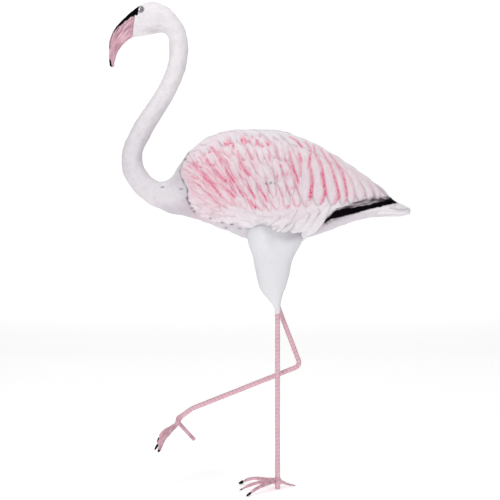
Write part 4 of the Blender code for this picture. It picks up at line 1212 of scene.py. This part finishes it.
def thigh_shell(side):
    """A thigh and its collar: level ovals narrowing to the bar, then circles square to it. The front half of
    an oval near the top is up to 85% wider, so that it swells out over the flank. The left thigh runs on down
    the standing bar as a thin coat that ends unevenly.
    """
    keys = -THIGH[:, 2]
    front, back, level, width = through(keys, THIGH, np.linspace(keys[0], keys[-1], 90)).T[:, :, None]
    angle = np.linspace(0.0, 2 * math.pi, 72, endpoint=False)
    circle = np.stack([np.cos(angle), np.sin(angle)], axis=1)
    swell = 0.85 * smooth_step(84.5, 76.0, level) * smooth_step(46.0, 70.0, level)
    depth = (front + back) / 2 + (back - front) / 2 * circle[:, 0]
    spread = width * circle[:, 1] * (1.0 + swell * smooth_step(0.15, -0.55, circle[:, 0]))
    rings = np.stack([depth, spread, level * np.ones(len(angle))], axis=-1)

    radius = sizes().bar_diameter / 2 / module() + COAT_WALL
    slope = math.radians(90.0) if side == "left" else HIP_SLOPE
    drop = COLLAR_DROP[side]
    collar = np.stack([
        drop / math.tan(slope) + radius * circle[:, 0] * math.sin(slope),
        radius * circle[:, 1],
        -drop + radius * circle[:, 0] * math.cos(slope),
    ], axis=-1)
    share = np.linspace(0.0, 1.0, 9)[1:, None, None]
    blend = rings[-1] * (1 - share) + collar * share
    blend[..., :2] *= 1 - np.sin(share * math.pi) * 0.06
    rings = np.concatenate([rings, blend])
    if side == "left":
        depth = np.linspace(drop, NUB_END, 14)[1:, None]
        ragged = np.sin(3 * angle + 1.0) * 0.5 + np.sin(5 * angle) * 0.3
        reach = depth + ragged * smooth_step(NUB_END - 3.0, NUB_END, depth)
        thin = radius - 0.22 * smooth_step(drop, NUB_END - 0.5, depth)
        coat = np.stack([thin * circle[:, 0], thin * circle[:, 1], -reach], axis=-1)
        rings = np.concatenate([rings, coat, coat[-1:] * [0.93, 0.93, 1.0]])
    wobble = lumps(rings, 14.0, 11)[..., None] * 0.22 * smooth_step(4.0, 14.0, rings[..., 2:3])
    away = unit(rings * [1, 1, 0] - rings.mean(axis=1, keepdims=True) * [1, 1, 0])
    return (rings + away * wobble) * module() + [0.0, across(side), sizes().leg_length]


def bend(before, corner, after, radius, steps):
    """Points of the arc of this radius that rounds a corner between two straight runs."""
    before, corner, after = (np.asarray(place, float) for place in (before, corner, after))
    back, ahead = unit(before - corner), unit(after - corner)
    half = math.acos(float(np.clip(back @ ahead, -1, 1))) / 2
    reach = radius / math.tan(half)
    middle = corner + unit(back + ahead) * radius / math.sin(half)
    start, end = corner + back * reach - middle, corner + ahead * reach - middle
    sweep = math.pi - 2 * half
    share = np.linspace(0.0, 1.0, steps + 1)[:, None]
    return middle + (np.sin((1 - share) * sweep) * start + np.sin(share * sweep) * end) / math.sin(sweep)


def raised_corners():
    """The raised bar's upper end, heel, ankle and lower end, on its centre line."""
    level = np.array([0.0, across("right"), sizes().leg_length])
    hip = np.array([math.cos(HIP_SLOPE), 0.0, -math.sin(HIP_SLOPE)])
    heel = level + hip * HIP_RUN
    ankle = heel + leaning(SHANK_SLOPE) * SHANK_RUN
    end = ankle + leaning(ANKLE_SLOPE) * ANKLE_RUN
    return level - hip * SOCKET_DEPTH, heel, ankle, end


def evenly(path, pitch):
    """A path read at even steps of about pitch, by straight lines between its points."""
    run = np.concatenate([[0.0], np.cumsum(np.linalg.norm(np.diff(path, axis=0), axis=1))])
    at = np.linspace(0.0, run[-1], round(run[-1] / pitch) + 1)
    return np.stack([np.interp(at, run, path[:, axis]) for axis in range(3)], axis=1), at


def tube(path, radii, columns, beside=(0.0, 1.0, 0.0), turn=1.0):
    """Rings around a path, each square to the path's slope. Their first axis is the slope crossed with
    beside, their second the slope crossed with the first, times turn. The radii are one a ring, or one a
    point.
    """
    slope = unit(np.gradient(path, axis=0))
    first = unit(np.cross(slope, beside))
    second = np.cross(slope, first) * turn
    angle = np.linspace(0.0, 2 * math.pi, columns, endpoint=False)
    ring = np.cos(angle)[None, :, None] * first[:, None] + np.sin(angle)[None, :, None] * second[:, None]
    return path[:, None] + ring * np.asarray(radii, float).reshape(len(path), -1, 1)


def ribbed_bar(path, columns=40):
    """A ribbed bar along a path: its radius is the core's, plus two ribs that run along it and crescent ribs
    that cross it on the slant. A crescent's height is a narrow bell across the rib times |sin|^0.6 of the
    angle.
    """
    path, at = evenly(path, 0.00065)
    angle = np.linspace(0.0, 2 * math.pi, columns, endpoint=False)
    core = sizes().bar_diameter / 2 - 0.0001
    pitch, height = sizes().rib_pitch, sizes().rib_height
    lean = 0.0009 * np.cos(angle) * np.where(np.sin(angle) > 0, 1.0, -1.0)
    phase = (at[:, None] + lean + np.where(np.sin(angle) > 0, 0.0, pitch / 2)) / pitch
    near = np.abs(phase - np.round(phase)) * pitch
    crescent = np.exp(-((near / 0.00085) ** 2)) * np.abs(np.sin(angle)) ** 0.6
    lengthwise = np.exp(-((np.sin(angle) / 0.22) ** 2)) * 0.55
    proud = np.maximum(crescent, lengthwise + 0 * crescent)
    recess = 1.0 - smooth_step(0.05, 0.6, proud)
    # Painted shade along the bar's front and back, where its lengthwise ribs run.
    edge = np.exp(-((np.sin(angle) / 0.5) ** 2)) * np.ones(proud.shape)
    return tube(path, core + height * proud, columns)[None], {"recess": recess[None], "edge": edge[None]}


def toe_path(root, forward, down, fan, length, dips, steps=40):
    """A toe's centre line: straight from the hub, then bent down at the knuckle towards the claw."""
    turn = math.radians(fan)
    ahead = np.asarray(forward) * math.cos(turn) + np.array([0.0, 1.0, 0.0]) * math.sin(turn)
    middle = (np.arange(steps) + 0.5) / steps
    dip = np.radians(dips[0] + (dips[1] - dips[0]) * smooth_step(0.4, 0.8, middle))
    moves = (np.cos(dip)[:, None] * ahead + np.sin(dip)[:, None] * np.asarray(down)) * length / steps
    return np.asarray(root) + np.concatenate([np.zeros((1, 3)), np.cumsum(moves, axis=0)])


def toe_radii(share, knuckles):
    """A toe's radius: thickest at its root, swollen by a small bell at each knuckle, and narrowing by smooth
    steps just after the root and over the last third.
    """
    radius = TOE_RADIUS * (1.05 - 0.12 * share - 0.17 * smooth_step(0.08, 0.28, share))
    radius = radius - 0.0013 * smooth_step(0.62, 1.0, share)
    for place in knuckles:
        radius = radius + 0.00035 * np.exp(-(((share - place) / 0.05) ** 2))
    return radius


def toe_tube(path, radii, columns=20):
    """Rings around a toe, with the upright as their reference."""
    return tube(path, radii, columns, (0.0, 0.0, 1.0), -1.0)


def join_smoothly(name, shells):
    """Overlapping closed shells made one skin: rebuilt on a voxel grid and relaxed, which leaves soft
    fillets.
    """
    parts = [shells_mesh(name, shell[None]) for shell in shells]
    form = bmesh.new()
    for part in parts:
        form.from_mesh(part)
    form.to_mesh(parts[0])
    form.free()
    holder = bpy.data.objects.new(name, parts[0])
    bpy.context.scene.collection.objects.link(holder)
    rebuilt = holder.modifiers.new("one skin", "REMESH")
    rebuilt.mode = "VOXEL"
    rebuilt.voxel_size = FOOT_VOXEL
    relaxed = holder.modifiers.new("relaxed", "SMOOTH")
    relaxed.factor = 0.5
    relaxed.iterations = FOOT_ROUNDS
    graph = bpy.context.evaluated_depsgraph_get()
    made = bpy.data.meshes.new_from_object(holder.evaluated_get(graph))
    made.name = name
    bpy.data.objects.remove(holder)
    for part in parts:
        bpy.data.meshes.remove(part)
    made.shade_smooth()
    return made


def sink_pit(mesh, place, radius, depth):
    """A small casting pit: points are moved back by depth times a bell of this radius, which is kept as the
    attribute pit.
    """
    flat = np.empty(len(mesh.vertices) * 3, np.float32)
    mesh.vertices.foreach_get("co", flat)
    points = flat.reshape(-1, 3).astype(float)
    share = np.exp(-(np.hypot(points[:, 0] - place[0], points[:, 2] - place[2]) / radius) ** 2)
    share = share * (points[:, 1] < place[1] + 0.004)
    points[:, 1] = points[:, 1] + depth * share
    mesh.vertices.foreach_set("co", points.astype(np.float32).ravel())
    mesh.attributes.new("pit", "FLOAT", "POINT").data.foreach_set("value", share.astype(np.float32))
    mesh.update()


def planted(path, radius):
    """A toe's path with its drops scaled, so that its end lies its own radius above the ground."""
    root = path[0, 2]
    path[:, 2] = root + (path[:, 2] - root) * (TOE_ROOT_HEIGHT - radius) / (root - path[-1, 2])
    return path


def leaning(slope):
    """The direction forwards and down at this slope."""
    return np.array([-math.cos(slope), 0.0, -math.sin(slope)])


def standing_foot():
    """Shells of the standing foot and of its claws: three toes and a pointed hind toe brought down to the
    ground, and a hub that narrows to both ends and swells a little below its middle.
    """
    centre = np.array([0.0, across("left"), 0.0])
    root = centre + [0.0, 0.0, TOE_ROOT_HEIGHT]
    forward, down = (-1, 0, 0), (0, 0, -1)
    shells, claws = [], []
    for length, fan, *dips, claw in TOES:
        path = toe_path(root, forward, down, fan, length, dips)
        radii = toe_radii(np.linspace(0.0, 1.0, len(path)), KNUCKLES)
        path = planted(path, radii[-1])
        shells.append(toe_tube(path[:-2], radii[:-2]))
        claws.append(toe_tube(path[-7:], radii[-7:] * CLAW_SWELL * claw, 16))
    length, fan, *dips = HIND_TOE
    path = toe_path(root, forward, down, fan, length, dips)
    radii = TOE_RADIUS * np.linspace(1.0, 0.3, len(path))
    shells.append(toe_tube(planted(path, radii[-1]), radii))
    share = np.linspace(0.0, 1.0, 16)
    outer = (sizes().bar_diameter / 2 + HUB_WALL) * (1.0 - 0.22 * np.abs(2 * share - 1) ** 3)
    outer = outer * (1.0 + 0.10 * np.exp(-(((share - 0.4) / 0.22) ** 2)))
    outer = outer - 0.0019 * smooth_step(0.5, 1.0, share)
    spine = centre + [0.0, 0.0, HUB_BOTTOM] + np.array([0.0, 0.0, HUB_HEIGHT]) * share[:, None]
    shells.append(tube(spine, outer, 32))
    return shells, claws


def raised_foot():
    """Shells of the raised foot and of its claws: a short curved hub on the bar's end, three toes with webs
    between them, and a straight hind toe with a flat end.
    """
    end = raised_corners()[3]
    seat = leaning(ANKLE_SLOPE) * RAISED_SEAT
    root = end + leaning(RAISED_HUB_SLOPE) * RAISED_HUB_REACH
    path = np.array([end - seat, end - seat / 2, end, (end + root) / 2, root, root * 1.25 - end / 4])
    swell = np.array([0.94, 1.0, 1.0, 0.9, 0.85, 0.6])
    shells = [tube(path, (sizes().bar_diameter / 2 + RAISED_HUB_WALL) * swell, 32)]
    forward = leaning(RAISED_TILT)
    down = (math.sin(RAISED_TILT), 0.0, -math.cos(RAISED_TILT))
    claw_swell = np.interp(np.linspace(0.0, 6.0, 9), np.arange(7), CLAW_SWELL)
    claws = []
    for length, fan, *dips, claw in RAISED_TOES:
        path = toe_path(root, forward, down, fan, length, dips)
        radii = toe_radii(np.linspace(0.0, 1.0, len(path)), RAISED_KNUCKLES)
        if fan == BLUNT_TOE_FAN:
            radii = np.maximum(radii, BLUNT_TOE_RADIUS)
        shells.append(toe_tube(path[:-2], radii[:-2]))
        claws.append(toe_tube(path[-9:], radii[-9:] * claw_swell * claw, 16))
    for length, fan, *dips in RAISED_WEBS:
        path = toe_path(root, forward, down, fan, length, dips)
        shells.append(toe_tube(path, TOE_RADIUS * np.linspace(1.0, 0.65, len(path))))
    start = root + (end - root) * 0.35
    tip = start + leaning(RAISED_HIND_SLOPE) * [-1.0, 1.0, 1.0] * RAISED_HIND_LENGTH
    hind, _ = evenly(np.array([start, tip]), 0.001)
    shells.append(tube(hind, np.full(len(hind), RAISED_HIND_RADIUS), 20))
    return shells, claws


class FLAMINGO_OT_skin(bpy.types.Operator):
    """Build the head, the neck and the uncarved body under the feathers"""

    bl_idname = "flamingo.skin"
    bl_label = "Head, neck and body"

    def execute(self, context):
        rows_at = skin_rows()
        turn = np.linspace(0.0, 2 * math.pi, SKIN_COLUMNS, endpoint=False)
        grid = skin_grid(rows_at, SKIN_COLUMNS)
        paints = paint_on_skin(grid)
        # Painted shade along the edges of bill and neck and under the belly, added to the painted shade from
        # the sheet.
        paints["painted_shade"] = np.clip(paints["painted_shade"] + edge_shade(rows_at, turn), 0, 1)
        blank = np.zeros(grid.shape[:2])
        paints["along"] = (blank + rows_at[:, None]) * MM * module()
        paints["across"] = (blank + np.minimum(turn, 2 * math.pi - turn) * 5.0) * MM * module()
        paints["plain"] = blank
        attributes = {key: values[None] for key, values in paints.items()}
        mesh = shells_mesh("resin_body", in_metres(grid)[None], attributes)
        add_piece("resin_body", mesh, painted_resin(False), "flamingo")
        return {"FINISHED"}


class FLAMINGO_OT_feathers(bpy.types.Operator):
    """Build the carved feathers of both wings, the flanks, the back and the tail"""

    bl_idname = "flamingo.feathers"
    bl_label = "Feathers"

    def execute(self, context):
        finish = painted_resin(True)
        table = feather_table()
        shells, paints = feather_shells(table)
        for key in ("across", "along"):
            paints[key] = paints[key] * MM * module()
        paired = table[:, 9] != ON_RIDGE
        for side, chosen, turn in (("left", slice(None), 1.0), ("right", paired, -1.0)):
            grids = in_metres(shells[chosen] * [1.0, turn, 1.0])
            on_side = {key: values[chosen] for key, values in paints.items()}
            mesh = shells_mesh(f"feathers_{side}", grids, on_side)
            add_piece(f"feathers_{side}", mesh, finish, "flamingo")
        return {"FINISHED"}


class FLAMINGO_OT_thighs(bpy.types.Operator):
    """Build both thighs with their collars"""

    bl_idname = "flamingo.thighs"
    bl_label = "Thighs"

    def execute(self, context):
        finish = painted_resin(False)
        for side in ("left", "right"):
            grid = thigh_shell(side)[None]
            blank = np.zeros(grid.shape[:3])
            local = (grid - in_metres(np.zeros(3))) / module()
            turn = np.linspace(0.0, 2 * math.pi, grid.shape[2], endpoint=False)
            paints = {key: blank for key in PAINTS + SKIN_PAINTS}
            paints["plain"] = blank + 1.0
            # Painted shade under the flank's fringe, and painted shade growing towards the thigh's front and
            # back, as |cos|^4 of the angle round it.
            paints["painted_shade"] = np.clip(painted_shade_on_sheet(local) + 0.16 * np.abs(np.cos(turn)) ** 4, 0, 1)
            mesh = shells_mesh(f"thigh_{side}", grid, paints)
            add_piece(f"thigh_{side}", mesh, finish, "flamingo")
        return {"FINISHED"}


def eyeball():
    """An eyeball on the near side: a ball sunk into the skin where the eye's place on the sheet meets it, as
    rings round the skin's normal, with its pupil, white and lid as smooth steps of the place on it.
    """
    along, angle = np.linspace(KEYS[5], KEYS[8], 300), np.linspace(0.3, 2.0, 200)
    spots, normals = skin_frame(*(grid.ravel() for grid in np.meshgrid(along, angle, indexing="ij")))
    nearest = int(np.argmin(np.sum((spots[:, [0, 2]] - off_sheet(EYE)) ** 2, axis=1)))
    centre, up = spots[nearest], normals[nearest]
    fall = np.linspace(0.02, math.pi - 0.02, 40)[:, None, None]
    turn = np.linspace(0.0, 2 * math.pi, EYE_COLUMNS, endpoint=False)[None, :, None]
    first = unit(np.cross(up, [0.0, 0.0, 1.0]))
    around = np.cos(turn) * first + np.sin(turn) * np.cross(up, first)
    ball = centre - up * EYE_SINK + EYE_RADIUS * (np.cos(fall) * up + np.sin(fall) * around)
    x, _, z = np.moveaxis(ball - centre, -1, 0)
    return ball, {
        "pupil": 0.85 * (1.0 - smooth_step(0.45, 1.05, np.hypot((x - 0.15) * 1.5, z * 0.75)))[None],
        "white": 1.0 - smooth_step(-0.7, -0.1, x)[None],
        "lid": smooth_step(1.9, 2.3, EYE_RADIUS * np.sin(fall[..., 0]) * np.ones(EYE_COLUMNS))[None],
    }


class FLAMINGO_OT_eyes(bpy.types.Operator):
    """Build both eyeballs"""

    bl_idname = "flamingo.eyes"
    bl_label = "Eyes"

    def execute(self, context):
        finish = eye_enamel()
        ball, paints = eyeball()
        for side, turn in (("left", 1.0), ("right", -1.0)):
            mesh = shells_mesh(f"eye_{side}", in_metres(ball * [1.0, turn, 1.0])[None], paints)
            add_piece(f"eye_{side}", mesh, finish, "flamingo")
        return {"FINISHED"}


class FLAMINGO_OT_legs(bpy.types.Operator):
    """Build the two ribbed bars"""

    bl_idname = "flamingo.legs"
    bl_label = "Leg bars"

    def execute(self, context):
        finish = painted_steel()
        top = sizes().leg_length + SOCKET_DEPTH
        straight = np.array([[0.0, across("left"), 0.0], [0.0, across("left"), top]])
        start, heel, ankle, end = raised_corners()
        at_heel, at_ankle = bend(start, heel, ankle, HEEL_BEND, 24), bend(heel, ankle, end, ANKLE_BEND, 16)
        bent = np.concatenate([[start], at_heel, at_ankle, [end]])
        for name, path in (("standing", straight), ("raised", bent)):
            mesh = shells_mesh(f"{name}_bar", *ribbed_bar(path))
            add_piece(f"{name}_bar", mesh, finish, f"{name}_leg")
        return {"FINISHED"}


class FLAMINGO_OT_feet(bpy.types.Operator):
    """Build the standing foot, the raised foot and their claws"""

    bl_idname = "flamingo.feet"
    bl_label = "Feet"

    def execute(self, context):
        finish, enamel = painted_iron(), black_enamel()
        for name, (shells, claws) in (("standing", standing_foot()), ("raised", raised_foot())):
            mesh = join_smoothly(f"{name}_foot_casting", shells)
            if name == "standing":
                near_side = [0.0, across("left") - sizes().bar_diameter / 2, 0.0]
                sink_pit(mesh, np.add(near_side, PIT_PLACE), PIT_SIZE, PIT_SIZE)
            add_piece(f"{name}_foot_casting", mesh, finish, f"{name}_foot")
            mesh = shells_mesh(f"{name}_claws", np.array(claws))
            add_piece(f"{name}_claws", mesh, enamel, f"{name}_foot")
        return {"FINISHED"}


# Soft lights: place, width of the square and power. The camera's lens gives a field 0.85 m wide at 2 m.
LIGHTS = {
    "key": ((-1.2, -2.5, 2.3), 1.4, 30.0),
    "fill": ((1.8, -2.4, 1.2), 1.8, 5.0),
    "top": ((0.1, -0.5, 2.9), 1.8, 27.0),
}
LIGHT_AIM = (0.0, 0.0, 0.45)
CAMERA_X, CAMERA_Z, CAMERA_AWAY, FIELD_WIDTH, SENSOR = -0.0465, 0.4039, 2.0, 0.85, 36.0


def paper_grid():
    """The paper sweep, as a profile carried sideways: a floor, a quarter circle of 1.4 m radius and a wall.
    """
    turn = np.linspace(0.0, 1.0, 60) * math.pi / 2
    curve = np.stack([2.2 + 1.4 * np.sin(turn), 1.4 - 1.4 * np.cos(turn)], axis=1)
    profile = np.concatenate([[[-4.0, 0.0]], curve, [[3.6, 5.0]]])
    width = np.linspace(-5.0, 5.0, 9)
    sweep = np.empty((len(profile), len(width), 3))
    sweep[..., 0], sweep[..., 1], sweep[..., 2] = width, profile[:, 0:1], profile[:, 1:2]
    row, column = np.meshgrid(np.arange(len(profile) - 1), np.arange(len(width) - 1), indexing="ij")
    corner = (row * len(width) + column).ravel()
    faces = np.stack([corner, corner + 1, corner + 1 + len(width), corner + len(width)], axis=1)
    return sweep.reshape(-1, 3), faces


class FLAMINGO_OT_stage(bpy.types.Operator):
    """Build the pale floor and backdrop, the soft lights and the camera"""

    bl_idname = "flamingo.stage"
    bl_label = "Stage"

    def execute(self, context):
        scene = context.scene
        points, faces = paper_grid()
        mesh = bpy.data.meshes.new("paper_sweep")
        mesh.from_pydata(points.tolist(), [], faces.tolist())
        mesh.shade_smooth()
        mesh.materials.append(white_paper())
        paper = bpy.data.objects.new("paper_sweep", mesh)
        scene.collection.objects.link(paper)

        world = bpy.data.worlds.new("soft_studio")
        world.use_nodes = True
        glow = world.node_tree.nodes["Background"]
        fill_inputs(world.node_tree, glow, {"Color": (1.0, 1.0, 1.0, 1.0), "Strength": 0.25})
        scene.world = world
        for name, (place, size, power) in LIGHTS.items():
            light = bpy.data.lights.new(name, "AREA")
            light.size = size
            light.energy = power
            lamp = bpy.data.objects.new(name, light)
            lamp.location = place
            x, y, z = np.subtract(place, LIGHT_AIM)
            lamp.rotation_euler = (math.atan2(math.hypot(x, y), z), 0.0, math.atan2(y, x) + math.pi / 2)
            scene.collection.objects.link(lamp)

        camera = bpy.data.cameras.new("camera")
        camera.sensor_width = SENSOR
        camera.lens = SENSOR * CAMERA_AWAY / FIELD_WIDTH
        viewer = bpy.data.objects.new("camera", camera)
        viewer.location = (CAMERA_X, sizes().leg_spacing / 2 - CAMERA_AWAY, CAMERA_Z)
        viewer.rotation_euler = (math.pi / 2, 0.0, 0.0)
        scene.collection.objects.link(viewer)
        scene.camera = viewer
        scene.view_settings.view_transform = "Standard"
        return {"FINISHED"}


class FLAMINGO_PT_panel(bpy.types.Panel):
    """Sizes, colours and the steps that build the statue"""

    bl_idname = "FLAMINGO_PT_panel"
    bl_label = "Resin flamingo statue"
    bl_space_type = "VIEW_3D"
    bl_region_type = "UI"
    bl_category = "Flamingo"

    def draw(self, context):
        layout = self.layout
        for group in (context.scene.flamingo_sizes, context.scene.flamingo_colours):
            box = layout.box()
            for key in group.__annotations__:
                box.prop(group, key)
        for step in STEPS:
            layout.operator(step.bl_idname)


STEPS = (
    FLAMINGO_OT_skin,
    FLAMINGO_OT_feathers,
    FLAMINGO_OT_thighs,
    FLAMINGO_OT_eyes,
    FLAMINGO_OT_legs,
    FLAMINGO_OT_feet,
    FLAMINGO_OT_stage,
)
CLASSES = (FlamingoSizes, FlamingoColours, *STEPS, FLAMINGO_PT_panel)


def register():
    for kind in CLASSES:
        bpy.utils.register_class(kind)
    bpy.types.Scene.flamingo_sizes = bpy.props.PointerProperty(type=FlamingoSizes)
    bpy.types.Scene.flamingo_colours = bpy.props.PointerProperty(type=FlamingoColours)


def unregister():
    del bpy.types.Scene.flamingo_colours
    del bpy.types.Scene.flamingo_sizes
    for kind in reversed(CLASSES):
        bpy.utils.unregister_class(kind)


def main():
    """Builds the statue and its stage."""
    register()
    bpy.ops.flamingo.skin()
    bpy.ops.flamingo.feathers()
    bpy.ops.flamingo.thighs()
    bpy.ops.flamingo.eyes()
    bpy.ops.flamingo.legs()
    bpy.ops.flamingo.feet()
    bpy.ops.flamingo.stage()
    bpy.context.view_layer.update()


if __name__ == "__main__":
    main()
